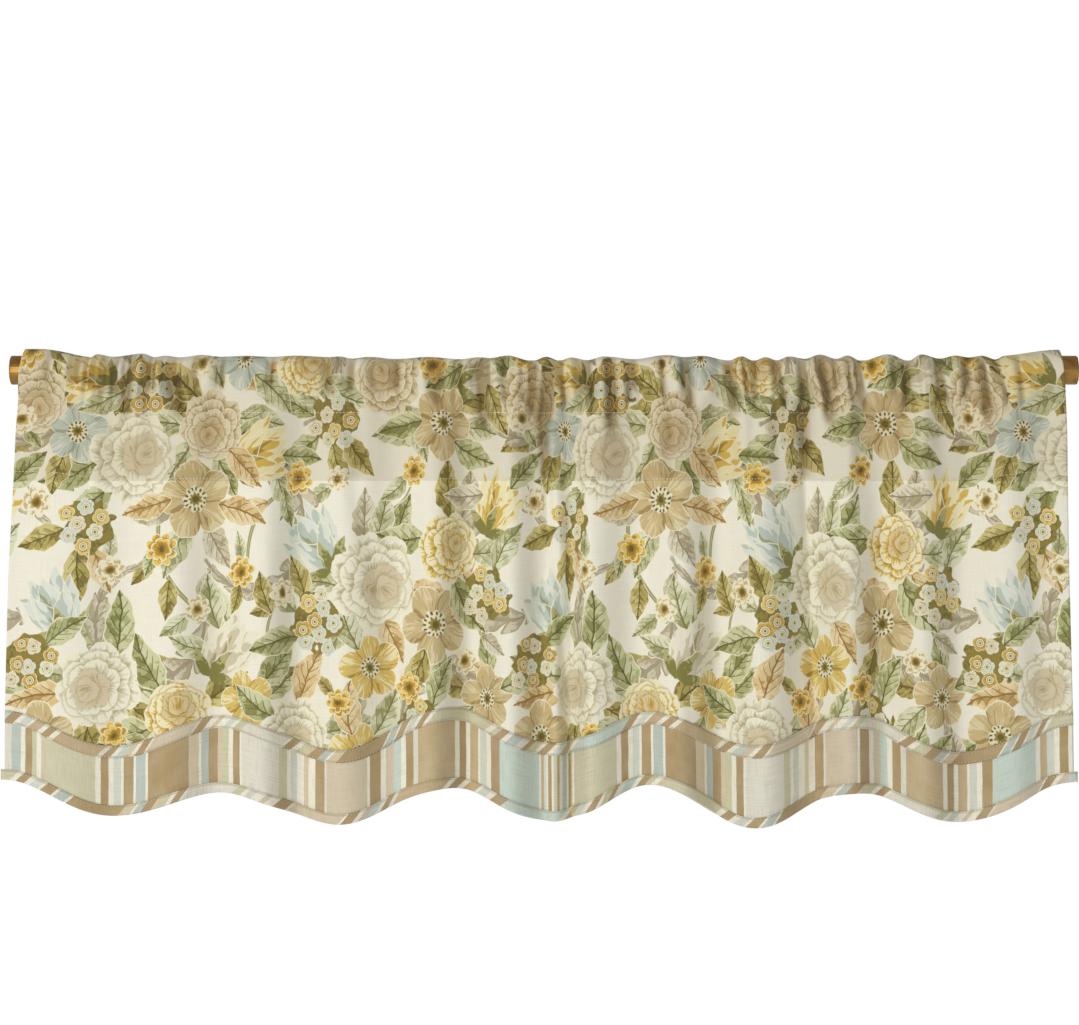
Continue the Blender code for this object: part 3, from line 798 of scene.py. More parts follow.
def panel_grid(shares):
    """The panel's middle surface, how far down the flat cloth each point is, from the facing's end
    behind (minus), over the rod (zero on top), to the seam, and how much painted shade each point
    takes in the creases of the gathers."""
    front = -PANEL_THICKNESS / 2.0
    behind = LAYER_GAP + PANEL_THICKNESS / 2.0
    x = x_at(shares, POCKET_STITCH_Z)
    stitch = pocket_stitch_z(x)
    rise = (stitch - POCKET_STITCH_Z) / 2.0
    facing_end = FACING_END_Z + rise
    level = x_at(shares, SCALLOP_LEVEL_Z)
    seam = below(1, level, (TRIM_WIDTH - PIECE_GAP) / 2.0)
    rows = []
    down = []
    crease_shades = []

    def add(row, distance, tuck=0.0):
        rows.append(row)
        down.append(np.broadcast_to(distance, shares.shape))
        crease_shades.append(np.broadcast_to(tuck, shares.shape))

    for share in np.linspace(0.0, 1.0, FACING_ROWS, endpoint=False):
        z = facing_end + (stitch - facing_end) * share
        add(hanging_row(shares, z, behind), z - TOP_ARC)
    for share in np.linspace(1.0, 0.0, BACK_LEG_ROWS, endpoint=False):
        add(pocket_leg_row(shares, share, False), stitch * share - TOP_ARC)
    for angle in np.linspace(180.0, 0.0, ARC_STEPS, endpoint=False):
        facing = max(math.cos(math.radians(angle)), 0.0)
        add(pocket_arc_row(shares, angle), TOP_ARC * (1.0 - angle / 90.0), crease_shade_strength(x, 0.0) * facing)
    for share in np.linspace(0.0, 1.0, FRONT_LEG_ROWS, endpoint=False):
        add(pocket_leg_row(shares, share, True), TOP_ARC - stitch * share, crease_shade_strength(x, stitch * share))
    for share in np.linspace(0.0, 1.0, CHANNEL_ROWS, endpoint=False):
        z = stitch + (facing_end - stitch) * share
        add(hanging_row(shares, z, front), TOP_ARC - z, crease_shade_strength(x, z))
    for share in np.linspace(0.0, 1.0, BODY_ROWS):
        z = facing_end + (seam - facing_end) * share
        add(hanging_row(shares, z, front), TOP_ARC - z)
    return np.array(rows), np.array(down), np.array(crease_shades)


def scallop_grid(shares, stations):
    """Rows of a piece that follows the scallops. Each station is a height and an offset, and the
    second result is the distance travelled across the rows, from the first."""
    rows = np.array([hanging_row(shares, z, offset) for z, offset in stations])
    steps = np.linalg.norm(np.diff(rows, axis=0), axis=2).mean(axis=1)
    return rows, np.concatenate([[0.0], np.cumsum(steps)])


def with_tails(rows, length):
    """Rows made longer at both ends, in line with their end runs."""
    first = rows[:, 0] - rows[:, 1]
    last = rows[:, -1] - rows[:, -2]
    before = rows[:, 0] + first * length / np.linalg.norm(first, axis=1)[:, None]
    after = rows[:, -1] + last * length / np.linalg.norm(last, axis=1)[:, None]
    return np.concatenate([before[:, None], rows, after[:, None]], axis=1)


def grid_faces(rows, columns):
    """Corner numbers of a grid's quads, wound so that their fronts face the room."""
    corner = (np.arange(rows - 1)[:, None] * columns + np.arange(columns - 1)).ravel()
    return np.stack([corner, corner + columns, corner + columns + 1, corner + 1], axis=1)


def make_mesh(name, points, faces, materials):
    """A smooth mesh object from millimetre points and equal-sided faces."""
    mesh = bpy.data.meshes.new(name)
    sides = faces.shape[1]
    mesh.vertices.add(len(points))
    mesh.vertices.foreach_set("co", (points * MM).astype(np.float32).ravel())
    mesh.loops.add(faces.size)
    mesh.loops.foreach_set("vertex_index", faces.astype(np.int32).ravel())
    mesh.polygons.add(len(faces))
    mesh.polygons.foreach_set("loop_start", np.arange(0, faces.size, sides, dtype=np.int32))
    mesh.update(calc_edges=True)
    for material in materials:
        mesh.materials.append(material)
    mesh.shade_smooth()
    made = bpy.data.objects.new(name, mesh)
    bpy.context.scene.collection.objects.link(made)
    return made


def make_cloth(name, rows, across, down, thickness, materials):
    """A cloth piece from the rows of its middle surface, with its flat coordinates in metres as
    its UV map, thickened by Solidify. The second material goes on the reverse."""
    count = rows.shape[1]
    faces = grid_faces(len(rows), count)
    made = make_mesh(name, rows.reshape(-1, 3), faces, materials)
    flat = np.stack(np.broadcast_arrays(across, down), axis=-1).reshape(-1, 2) * MM
    layer = made.data.uv_layers.new(name="flat_cloth")
    layer.data.foreach_set("uv", flat[faces.ravel()].astype(np.float32).ravel())
    solidify = made.modifiers.new("cloth thickness", "SOLIDIFY")
    solidify.thickness = thickness * MM
    solidify.offset = 0.0
    solidify.use_even_offset = True
    solidify.use_quality_normals = True
    solidify.material_offset = len(materials) - 1
    solidify.material_offset_rim = 0
    return made, faces, flat / MM


def turned(du, dv, degrees):
    """Flat distances seen in a frame that is turned by so many degrees."""
    angle = np.radians(degrees)
    return du * np.cos(angle) + dv * np.sin(angle), dv * np.cos(angle) - du * np.sin(angle)


def wrapped_distance(place, other):
    """How far apart two places of the flat cloth are, the shorter way round the repeat."""
    apart = np.subtract(place, other)
    apart -= np.round(apart / (REPEAT_WIDE, REPEAT_HIGH)) * (REPEAT_WIDE, REPEAT_HIGH)
    return np.hypot(*apart)


def leaf_gap(one, other):
    """The gap between two leaves, measured between points along their midribs, both wrapped."""
    spots = []
    for _, u, v, length, turn, _, _ in (one, other):
        along = np.array([0.1, 0.35, 0.6, 0.9])[:, None] * length
        angle = math.radians(turn)
        spots.append(np.array([u, v]) + along * np.array([math.cos(angle), math.sin(angle)]))
    apart = spots[0][:, None] - spots[1][None]
    apart -= np.round(apart / (REPEAT_WIDE, REPEAT_HIGH)) * (REPEAT_WIDE, REPEAT_HIGH)
    reach = (one[3] + other[3]) * LEAF_HALF_WIDTH * 0.9
    return np.linalg.norm(apart, axis=2).min() - reach


def leaves_of_repeat():
    """Leaves fan out round each flower and stand in pairs along each sprig. Each goes to the first
    layer where it clears the leaves that are there, or is left out."""
    chance = np.random.default_rng(11)
    wanted = []
    for kind, u, v, radius, turn, _ in FLOWERS:
        number, start, length = LEAVES_ROUND[kind]
        for i in range(number):
            angle = turn + 360.0 * (i + chance.uniform(-0.22, 0.22)) / number
            out = np.array([math.cos(math.radians(angle)), math.sin(math.radians(angle))])
            root = np.array([u, v]) + out * radius * start
            lean = angle + chance.uniform(-28.0, 28.0)
            tip = root + length * np.array([math.cos(math.radians(lean)), math.sin(math.radians(lean))])
            if all(wrapped_distance(tip, other[1:3]) > other[3] * 0.6 for other in FLOWERS):
                grown = length * chance.uniform(0.85, 1.12)
                wanted.append((root, lean, grown, chance.choice(LEAF_TINTS)))
    for u0, v0, u1, v1, bow, number in SPRIGS:
        start, end = np.array([u0, v0]), np.array([u1, v1])
        heading = math.degrees(math.atan2(v1 - v0, u1 - u0))
        square = np.array([-(v1 - v0), u1 - u0])
        for i in range(number):
            t = (i + 0.8) / number
            root = start + (end - start) * t + square * bow * 4.0 * t * (1.0 - t)
            side = 1.0 if i % 2 else -1.0
            spread = 52.0 * (1.0 - t) + 8.0
            grown = chance.uniform(34.0, 46.0)
            wanted.append((root, heading + side * spread, grown, chance.choice(LEAF_TINTS)))
    placed = {layer: [] for layer in LEAF_LAYERS}
    for root, lean, length, tint in wanted:
        for layer in LEAF_LAYERS:
            leaf = (layer, root[0], root[1], length, lean, tint, chance.uniform(-0.09, 0.09))
            if all(leaf_gap(leaf, other) > MOTIF_MARGIN for other in placed[layer]):
                placed[layer].append(leaf)
                break
    return [leaf for layer in LEAF_LAYERS for leaf in placed[layer]]


def motifs_of_repeat():
    """Every motif of one repeat: kind, across, down, size, turn, tint, spare number."""
    motifs = [(*flower, i % 7 / 7.0) for i, flower in enumerate(FLOWERS)]
    motifs += [("frond", u, v, radius, turn, 0.5, 0.0) for u, v, radius, turn in FRONDS]
    for u0, v0, u1, v1, bow, _ in SPRIGS:
        length = math.hypot(u1 - u0, v1 - v0)
        turn = math.degrees(math.atan2(v1 - v0, u1 - u0))
        motifs.append(("stem", u0, v0, length, turn, 0.5, bow))
    return motifs + leaves_of_repeat()


def motif_distance(kind, x, y, size, spare):
    """How far outside a motif a flat place is, from its own coordinates x and y in sizes."""
    if kind in LEAF_LAYERS:
        nearest = np.hypot(x - np.clip(x, 0.12, 0.85), y)
        return (nearest - LEAF_HALF_WIDTH) * size
    if kind == "stem":
        bowed = y - 4.0 * spare * np.clip(x, 0.0, 1.0) * (1.0 - np.clip(x, 0.0, 1.0))
        return np.hypot(x - np.clip(x, 0.0, 1.0), bowed) * size - 1.5
    reach = {"frond": 1.36, "tulip": 1.08}.get(kind, 1.05)
    return (np.hypot(x, y) - reach) * size


def stamp(made, name, values):
    """Stores four numbers on each corner of each face."""
    attribute = made.data.attributes.new(name, "FLOAT_COLOR", "CORNER")
    attribute.data.foreach_set("color", values.astype(np.float32).ravel())


def stamp_print(made, faces, flat):
    """Stamps each kind of motif on the cloth: every face takes the nearest motif of that kind, and
    its corners store their place in that motif's own frame, turned and in sizes."""
    motifs = motifs_of_repeat()
    corners = flat[faces]
    middle = corners.mean(axis=1)
    for kind in sorted({motif[0] for motif in motifs}):
        table = np.array([motif[1:] for motif in motifs if motif[0] == kind])
        shifts = [(i * REPEAT_WIDE, j * REPEAT_HIGH) for i in (-1, 0, 1, 2) for j in (-1, 0, 1)]
        copies = np.concatenate([table + np.array([*shift, 0, 0, 0, 0]) for shift in shifts])
        near = (copies[:, 0] > -120.0) & (copies[:, 0] < FLAT_WIDTH + 120.0)
        near &= (copies[:, 1] > middle[:, 1].min() - 120.0) & (copies[:, 1] < middle[:, 1].max() + 120.0)
        copies = copies[near]
        best = np.full(len(faces), np.inf)
        pick = np.zeros(len(faces), int)
        for number, (u, v, size, turn, _, spare) in enumerate(copies):
            x, y = turned(middle[:, 0] - u, middle[:, 1] - v, turn)
            distance = motif_distance(kind, x / size, y / size, size, spare)
            closer = distance < best
            best[closer] = distance[closer]
            pick[closer] = number
        u, v, size, turn, tint, spare = copies[pick].T[..., None]
        x, y = turned(corners[..., 0] - u, corners[..., 1] - v, turn)
        bare = best[:, None] > FACE_REACH
        stamped = np.stack(
            np.broadcast_arrays(
                np.where(bare, 9.0, x / size), np.where(bare, 9.0, y / size), tint, spare
            ),
            axis=-1,
        )
        stamp(made, kind, stamped)


def strokes(graph, x, y, around, outward):
    """Brush strokes that run out from a flower's heart, from about -0.5 to 0.5."""
    reach = graph.length(x, y)
    place = graph.join(x / reach * around, y / reach * around, reach * outward)
    noise = graph.noise(place, 1.0, 1.0)
    return (noise - 0.5) * 1.5


def lobed_ring(graph, x, y, centre, petals, phase, radius, notch, grain):
    """One ring of petals, edge = radius * (1 - notch + notch * |sin(petals * angle / 2)| ** 0.6),
    as how far inside the edge a place is and how near a petal's crown it is."""
    dx = x - centre[0]
    dy = y - centre[1]
    angle = dy.math("ARCTAN2", dx)
    crown = angle.times_plus(petals / 2.0, phase).math("SINE").size() ** 0.6
    edge = crown.times_plus(notch * radius, radius * (1.0 - notch)) + grain * (0.05 * radius)
    length = graph.length(dx, dy)
    return edge - length, crown, angle, length


def draw_peony(graph, under, wobble, grain):
    """A full rosette of five rings whose heart sits off centre, each ring light at its rim and
    shaded by strokes where it goes under the next."""
    x, y, tint, _ = graph.stamp("peony")
    x = wobble[0].times_plus(0.20, x)
    y = wobble[1].times_plus(0.20, y)
    stroke = strokes(graph, x, y, 9.0, 3.4)
    light = graph.by_tint(tint, ("#E5E1CA", "#E6DDB4", "#DBD0B2"))
    middle = graph.by_tint(tint, ("#D3CCB1", "#D3B45D", "#C7B58B"))
    shade = graph.by_tint(tint, ("#B4AA86", "#AC8B37", "#A08B5B"))
    rings = (
        (7, 0.2, 0.97, 0.20), (6, 1.3, 0.80, 0.18), (6, 0.7, 0.62, 0.18),
        (5, 2.1, 0.44, 0.20), (3, 0.4, 0.26, 0.22),
    )
    for number, (petals, phase, radius, notch) in enumerate(rings):
        centre = (0.055 * number, -0.045 * number)
        inside, crown, _, _ = lobed_ring(graph, x, y, centre, petals, phase, radius, notch, grain)
        tone = inside.times_plus(2.6, stroke) - crown * 0.28 + wobble[2] * 0.5
        colour = graph.mix(tone.over(0.12, 0.06), light, middle)
        colour = graph.mix(tone.over(0.40, 0.06), colour, shade)
        colour = graph.mix(inside.over(0.030, 0.014), "outline", colour)
        if number >= 1:
            under = graph.mix(inside.over(-0.035, 0.07) * 0.55, under, shade)
        if number >= 3:
            colour = graph.mix(0.42, colour, "#AD8A4C")
        under = graph.mix(inside.over(0.008, 0.014), under, colour)
    return under


def draw_blossom(graph, under, wobble, grain):
    """A flat flower of five wide petals with fine streaks, a ring of stamens and a dark eye."""
    x, y, tint, _ = graph.stamp("blossom")
    x = wobble[0].times_plus(0.15, x)
    y = wobble[1].times_plus(0.15, y)
    stroke = strokes(graph, x, y, 13.0, 2.2)
    light = graph.by_tint(tint, ("#D5C69D", "#E2D8A9", "#D3D6C8"))
    middle = graph.by_tint(tint, ("#C3AE7E", "#D0B463", "#BAC2B2"))
    shade = graph.by_tint(tint, ("#9C8550", "#A3863A", "#98A08B"))
    inside, crown, angle, reach = lobed_ring(graph, x, y, (0.0, 0.0), 5, 0.3, 0.98, 0.34, grain)
    tone = stroke + (1.0 - crown) * 0.6 - reach * 0.42 + wobble[2] * 0.5
    colour = graph.mix(tone.over(-0.30, 0.06), light, middle)
    colour = graph.mix(tone.over(0.16, 0.06), colour, shade)
    colour = graph.mix(inside.over(0.036, 0.016), "outline", colour)
    under = graph.mix(inside.over(0.01, 0.016), under, colour)
    ruff = grain * 0.06 + angle.times_plus(9.0, 0.0).math("SINE") * 0.03
    under = graph.mix((ruff + 0.31 - reach).over(0.0, 0.02), under, "#DDD6B4")
    band = (0.040 - (reach - 0.26).size()).over(0.0, 0.02)
    dots = angle.times_plus(14.0, 0.0).math("SINE").over(0.2, 0.3) * band
    under = graph.mix(dots, under, "#5F5430")
    under = graph.mix((0.16 - reach + ruff).over(0.0, 0.02), under, "#8E7C37")
    return graph.mix((0.08 - reach).over(0.0, 0.02), under, "#5F5628")


def draw_daisy(graph, under, wobble, grain):
    """A small flower of two rings of narrow petals round a domed eye."""
    x, y, tint, _ = graph.stamp("daisy")
    x = wobble[0].times_plus(0.30, x)
    y = wobble[1].times_plus(0.30, y)
    light = graph.by_tint(tint, ("#DDBD5C", "#E7E0C4"))
    shade = graph.by_tint(tint, ("#B48A31", "#C4B17C"))
    for petals, phase, radius in ((8, 0.3, 0.98), (6, 1.0, 0.68)):
        inside, crown, _, _ = lobed_ring(graph, x, y, (0.0, 0.0), petals, phase, radius, 0.34, grain)
        tone = inside.times_plus(2.0, grain * 0.9) - crown * 0.3 + wobble[2]
        colour = graph.mix(tone.over(0.22, 0.10), light, shade)
        colour = graph.mix(inside.over(0.08, 0.03), "outline", colour)
        under = graph.mix(inside.over(0.02, 0.03), under, colour)
    eye = graph.length(x, y)
    under = graph.mix((0.28 - eye).over(0.0, 0.04), under, "#9A7A2D")
    return graph.mix((0.16 - eye + grain * 0.1).over(0.0, 0.04), under, "#675826")


def draw_cluster(graph, under, wobble, grain):
    """A rounded head of small five-lobed florets, one in each Voronoi cell, over dark olive."""
    x, y, tint, spare = graph.stamp("cluster")
    place = graph.join(x.times_plus(1.9, spare * 40.0), y.times_plus(1.9, tint * 30.0))
    cell = {"voronoi_dimensions": "2D", "feature": "F1"}
    settings = {"Vector": place, "Scale": 1.0, "Randomness": 0.42}
    random = graph.node("ShaderNodeTexVoronoi", cell, settings, out=1)
    centre = graph.node("ShaderNodeTexVoronoi", cell, settings, out=2)
    away = graph.node("ShaderNodeVectorMath", {"operation": "SUBTRACT"}, {0: place, 1: centre})
    dx, dy, _ = graph.split(away)
    head = graph.length(x, y)
    middle_x, middle_y, _ = graph.split(centre)
    out = graph.length((middle_x - spare * 40.0) / 1.9, (middle_y - tint * 30.0) / 1.9)
    back = graph.mix((grain + wobble[2]).over(0.12, 0.1), "#8B7B38", "#6D6A33")
    under = graph.mix((0.80 - head + wobble[0] * 0.9).over(0.01, 0.03), under, back)
    chosen, turn, _ = graph.split(random)
    inside, _, _, reach = lobed_ring(graph, dx, dy, (0.0, 0.0), 5, turn * 3.0, 0.54, 0.24, grain)
    shown = (0.84 - out).over(0.0, 0.01)
    light = graph.by_tint(chosen, ("#CBD0C1", "#D9D0B6", "#D7BC6A", "#DAD9BF", "#C3A24B"))
    shade = graph.by_tint(chosen, ("#A9B2A2", "#B3A682", "#A98B38", "#B4B285", "#877030"))
    colour = graph.mix((reach.times_plus(-2.0, 0.58) + grain * 0.6).over(0.0, 0.10), light, shade)
    colour = graph.mix(inside.over(0.050, 0.02), "outline", colour)
    under = graph.mix(inside.over(0.012, 0.02) * shown, under, colour)
    ring = (0.035 - (reach - 0.22).size()).over(0.0, 0.02) * shown
    under = graph.mix(ring, under, "#E4DCBB")
    under = graph.mix((0.15 - reach).over(0.0, 0.02) * shown, under, "#D9CFA6")
    return graph.mix((0.07 - reach).over(0.0, 0.02) * shown, under, "#7A6A2E")


def petal_inside(x, y, turn, length, width):
    """How far inside a pointed petal a place is, and its place along and across. The petal grows
    from (0, 0.9) towards -y, turned, with half width = width * sin(pi * along ** 0.8)."""
    rise = 0.9 - y
    angle = math.radians(turn)
    along = (x * math.sin(angle) + rise * math.cos(angle)) * (1.0 / length)
    across = x * math.cos(angle) - rise * math.sin(angle)
    kept = along.most(0.0).least(1.0)
    half = ((kept**0.8) * math.pi).math("SINE") * width
    return half - across.size(), kept, across


def draw_tulip(graph, under, wobble, grain):
    """A half-open bud: pointed petals that fan from their base, the nearest last, and two sepals."""
    x, y, tint, _ = graph.stamp("tulip")
    x = wobble[0].times_plus(0.18, x)
    y = wobble[1].times_plus(0.18, y)
    stroke = strokes(graph, x, y - 1.1, 10.0, 1.5)
    light = graph.by_tint(tint, ("#E3DEC8", "#E5DBAC", "#D5D9CC"))
    middle = graph.by_tint(tint, ("#C9BFA0", "#CFAE52", "#B6C0B2"))
    shade = graph.by_tint(tint, ("#A29570", "#9F8132", "#959B7C"))
    petals = (
        (-27.0, 1.60, 0.31), (28.0, 1.56, 0.31), (-11.0, 1.78, 0.35), (13.0, 1.82, 0.34),
        (1.0, 1.62, 0.37), (-19.0, 1.24, 0.29), (20.0, 1.20, 0.29),
    )
    for turn, length, width in petals:
        inside, along, across = petal_inside(x, y, turn, length, width)
        tone = stroke - along * 0.75 + across * (1.5 if turn < 0 else -1.5) + wobble[2] * 0.6
        colour = graph.mix(tone.over(-0.55, 0.06), light, middle)
        colour = graph.mix(tone.over(-0.16, 0.06), colour, shade)
        colour = graph.mix(inside.over(0.040, 0.016), "outline", colour)
        under = graph.mix(inside.over(0.015, 0.016), under, colour)
    for turn in (-62.0, 60.0, 4.0):
        inside, along, _ = petal_inside(x, y, turn, 0.80, 0.15)
        colour = graph.mix((grain + along).over(0.6, 0.1), "#7D7A3E", "#ABA771")
        under = graph.mix(inside.over(0.015, 0.02), under, colour)
    return under


def draw_leaf(graph, layer, under, wobble, grain):
    """A leaf, half width = W * sin(pi * along ** 0.8) with soft teeth, painted in three tones in
    patches, with a midrib and short side veins, in one of five colours."""
    x, y, tint, bow = graph.stamp(layer)
    x = wobble[0].times_plus(0.08, x).most(0.0).least(1.0)
    y = wobble[1].times_plus(0.08, y) - bow * x * (1.0 - x) * 4.0
    teeth = (x * 27.0).math("SINE") * 0.045 + 1.0
    half = ((x**0.8) * math.pi).math("SINE") * LEAF_HALF_WIDTH * teeth
    away = y.size()
    inside = half - away
    across = away / half.most(0.02)
    saw = x.times_plus(6.0, away * -8.0).math("FRACT")
    side = y.over(0.0, 0.02)
    tone = across * 0.30 + saw * 0.20 + grain * 0.50 + side * 0.22 + wobble[2] * 1.3
    dark = graph.by_tint(tint, ("#82824B", "#989768", "#7E7136", "#B29259", "#A69B7C"))
    middle = graph.by_tint(tint, ("#A7A975", "#BCBC92", "#A99B58", "#D3BA86", "#C4BA9B"))
    light = graph.by_tint(tint, ("#C7C89D", "#D5D5B5", "#C8BC80", "#DFCCA2", "#D7D0BA"))
    rib = graph.by_tint(tint, ("#5F5C2C", "#76733F", "#61541F", "#8F6D38", "#8B8061"))
    colour = graph.mix(tone.over(0.16, 0.05), dark, middle)
    colour = graph.mix(tone.over(0.44, 0.06), colour, light)
    veins = (0.15 - saw).over(0.0, 0.04) * (0.62 - across).over(0.0, 0.1) * 0.75
    colour = graph.mix(veins.most((0.013 - away).over(0.0, 0.006)), colour, rib)
    colour = graph.mix(inside.over(0.022, 0.010), "outline", colour)
    return graph.mix(inside.over(0.008, 0.010), under, colour)


def draw_frond(graph, under, wobble, grain):
    """An arching frond: leaflets in pairs along an arc of radius 1, tapering to its tip."""
    x, y, _, _ = graph.stamp("frond")
    x = wobble[0].times_plus(0.12, x)
    y = wobble[1].times_plus(0.12, y)
    angle = y.math("ARCTAN2", x)
    reach = graph.length(x, y)
    kept = ((angle + 2.4) / 4.8).most(0.0).least(1.0)
    half = ((kept**0.55) * math.pi).math("SINE").times_plus(0.26, 0.04)
    across = (reach - 1.0) / half
    away = across.size()
    saw = kept.times_plus(12.0, away * -0.75).math("FRACT")
    lobe = (1.0 - away * away).most(0.0).math("SQRT") * 0.54 - (saw - 0.5).size()
    within = kept.over(0.02, 0.01) * (0.98 - kept).over(0.0, 0.01)
    tone = grain * 0.8 + saw * 0.6 + wobble[2] * 0.7
    colour = graph.mix(tone.over(0.28, 0.06), "#AFA486", "#C9C0A6")
    colour = graph.mix(tone.over(0.60, 0.06), colour, "#DAD4BF")
    colour = graph.mix(lobe.over(0.10, 0.04), "#9A8E6C", colour)
    under = graph.mix(lobe.over(0.03, 0.04) * within, under, colour)
    return graph.mix((0.14 - away).over(0.0, 0.06) * within, under, "#A0947A")


def draw_stem(graph, under):
    """A stem 3 mm wide that bows over its length: across = 4 * bow * along * (1 - along)."""
    x, y, _, bow = graph.stamp("stem")
    kept = x.most(0.0).least(1.0)
    off = (y - bow * kept * (1.0 - kept) * 4.0).size() + (x - kept).size()
    under = graph.mix((0.020 - off).over(0.0, 0.008), under, "stem")
    return graph.mix((0.007 - off).over(0.0, 0.006), under, "stem light")


def weave(graph, place, scale=1.0):
    """Height of a plain weave with uneven threads, and how much its slubs lighten the cloth."""
    u, v, _ = graph.split(place)
    thread = 2.0 * math.pi / (THREAD_PITCH * scale)
    warp = (u * thread).math("SINE")
    weft = (v * thread).math("SINE")
    slub_u = graph.noise(graph.join(u * 1500.0, v * 45.0), 1.0, 1.0)
    slub_v = graph.noise(graph.join(u * 38.0, v * 1300.0), 1.0, 1.0)
    slubs = slub_u + slub_v - 1.0
    return warp * weft * 0.5 + slubs * 2.2, slubs


def finish_cloth(graph, colour, height, roughness=0.92, bump=0.16):
    """Cloth: matt, with a soft sheen and the weave as its bump."""
    graph.put(graph.shader.inputs["Base Color"], colour)
    graph.shader.inputs["Roughness"].default_value = roughness
    graph.shader.inputs["Sheen Weight"].default_value = 0.12
    graph.shader.inputs["Specular IOR Level"].default_value = 0.25
    normal = graph.node("ShaderNodeBump", None, {"Strength": bump, "Distance": 0.0003, "Height": height})
    graph.put(graph.shader.inputs["Normal"], normal)
    return graph.material


def printed_cotton(name, ghost):
    """The floral cotton. ghost is how much of the print the cream ground hides, as on its reverse."""
    graph = Graph(name)
    place = graph.node("ShaderNodeUVMap", {"uv_map": "flat_cloth"})
    noise = graph.noise(place, 70.0, 1.0, out=1)
    wobble = [part - 0.5 for part in graph.split(noise)]
    fine = graph.noise(place, 260.0, 2.0)
    grain = (fine - 0.5) * 1.3
    height, slubs = weave(graph, place)
    colour = graph.mix(0.0, "ground", "ground")
    colour = draw_stem(graph, colour)
    colour = draw_leaf(graph, "leaf_back", colour, wobble, grain)
    colour = draw_frond(graph, colour, wobble, grain)
    colour = draw_leaf(graph, "leaf_middle", colour, wobble, grain)
    colour = draw_tulip(graph, colour, wobble, grain)
    colour = draw_blossom(graph, colour, wobble, grain)
    colour = draw_leaf(graph, "leaf_front", colour, wobble, grain)
    colour = draw_cluster(graph, colour, wobble, grain)
    colour = draw_peony(graph, colour, wobble, grain)
    colour = draw_daisy(graph, colour, wobble, grain)
    if ghost:
        colour = graph.mix(ghost, colour, "ground")
    else:
        _, down, _ = graph.split(place)
        # Painted shade: the two-layer heading is darkened in place of the light that comes through it
        # less, and the creases of the gathers take their painted crease shade
        double_layer_shade = (0.001 * (TOP_ARC - FACING_END_Z) - down).over(0.0, 0.001)
        tuck, _, _, _ = graph.stamp("tuck")
        settings = {"data_type": "RGBA", "blend_type": "MULTIPLY"}
        for share, shade in ((double_layer_shade, "double_layer_shade"), (tuck, "painted_crease_shade")):
            colour = graph.node("ShaderNodeMix", settings, {0: share, 6: colour, 7: dye(shade)}, out=2)
    colour = graph.mix(slubs.times_plus(0.28, 0.04).most(0.0), colour, "#A99C78")
    return finish_cloth(graph, colour, height)


def striped_colour(graph, along):
    """The stripes by distance along the striped cloth in metres: ramps of 30 bars at most, each
    over its own stretch of the repeat."""
    widths = np.array([width for width, _ in STRIPES])
    ends = np.concatenate([[0.0], np.cumsum(widths)])
    total = ends[-1]
    place = (along / (total * MM)).math("FRACT")
    colour = None
    most = 30
    for first in range(0, len(STRIPES), most):
        bars = STRIPES[first : first + most]
        stops = [(ends[first + i] / total, bar[1]) for i, bar in enumerate(bars)]
        ramp = graph.node("ShaderNodeValToRGB", {"interpolation": "CONSTANT", "stops": stops}, {0: place})
        if colour is None:
            colour = ramp
        else:
            colour = graph.mix(place.over(ends[first] / total, 0.0002), colour, ramp)
    return colour


def striped_cotton(name, turn, shift, darker=0.0, finer=1.0, groove_shade_lines=()):
    """The striped cotton, cut at an angle to its stripes, with a faded, slubby surface. A thin painted
    shade darkens it along the lines where stitches press it down, given as distances in millimetres."""
    graph = Graph(name)
    place = graph.node("ShaderNodeUVMap", {"uv_map": "flat_cloth"})
    u, v, _ = graph.split(place)
    angle = math.radians(turn)
    cloud = graph.noise(place, 45.0, 3.0)
    along = (u * math.cos(angle) + v * math.sin(angle)) * finer + shift * MM
    colour = striped_colour(graph, along + (cloud - 0.5) * 0.0016)
    height, slubs = weave(graph, place)
    colour = graph.mix(cloud.times_plus(0.5, -0.16).most(0.0), colour, "#DDD6BD")
    colour = graph.mix(slubs.times_plus(0.6, 0.05 + darker).most(0.0), colour, "#857552")
    # Painted shade: a thin dark line along each stitch row stands in for the shadow where the stitches
    # press the cloth down
    for line in groove_shade_lines:
        colour = graph.mix((0.0005 - (v - line * MM).size()).over(0.0, 0.0004) * 0.45, colour, "#6F6144")
    return finish_cloth(graph, colour, height)


def plain_thread(name, colour):
    """Sewing thread: a slight sheen and a twist too fine to see."""
    graph = Graph(name)
    place = graph.node("ShaderNodeTexCoord", None, out=3)
    twist = graph.noise(place, 2600.0, 1.0)
    graph.put(graph.shader.inputs["Base Color"], graph.mix(twist * 0.5, colour, "#A89570"))
    graph.shader.inputs["Roughness"].default_value = 0.6
    normal = graph.node("ShaderNodeBump", None, {"Strength": 0.3, "Distance": 0.0001, "Height": twist})
    graph.put(graph.shader.inputs["Normal"], normal)
    return graph.material


def antique_brass(name):
    """Satin brass in cloudy patches of darker and lighter tone, with fine turning lines round the rod."""
    graph = Graph(name)
    place = graph.node("ShaderNodeTexCoord", None, out=3)
    x, y, z = graph.split(place)
    patina = graph.noise(place, 90.0, 4.0)
    lines = graph.noise(graph.join(x * 2600.0, y * 60.0, z * 60.0), 1.0, 2.0)
    worn = patina.times_plus(1.6, -0.35).most(0.0).least(1.0)
    colour = graph.mix(worn, "#8B6630", "#C59C58")
    graph.put(graph.shader.inputs["Base Color"], graph.mix(lines * 0.3, colour, "#5F421C"))
    graph.shader.inputs["Metallic"].default_value = 1.0
    graph.put(graph.shader.inputs["Roughness"], lines.times_plus(0.16, 0.27))
    normal = graph.node("ShaderNodeBump", None, {"Strength": 0.12, "Distance": 0.0002, "Height": lines})
    graph.put(graph.shader.inputs["Normal"], normal)
    return graph.material


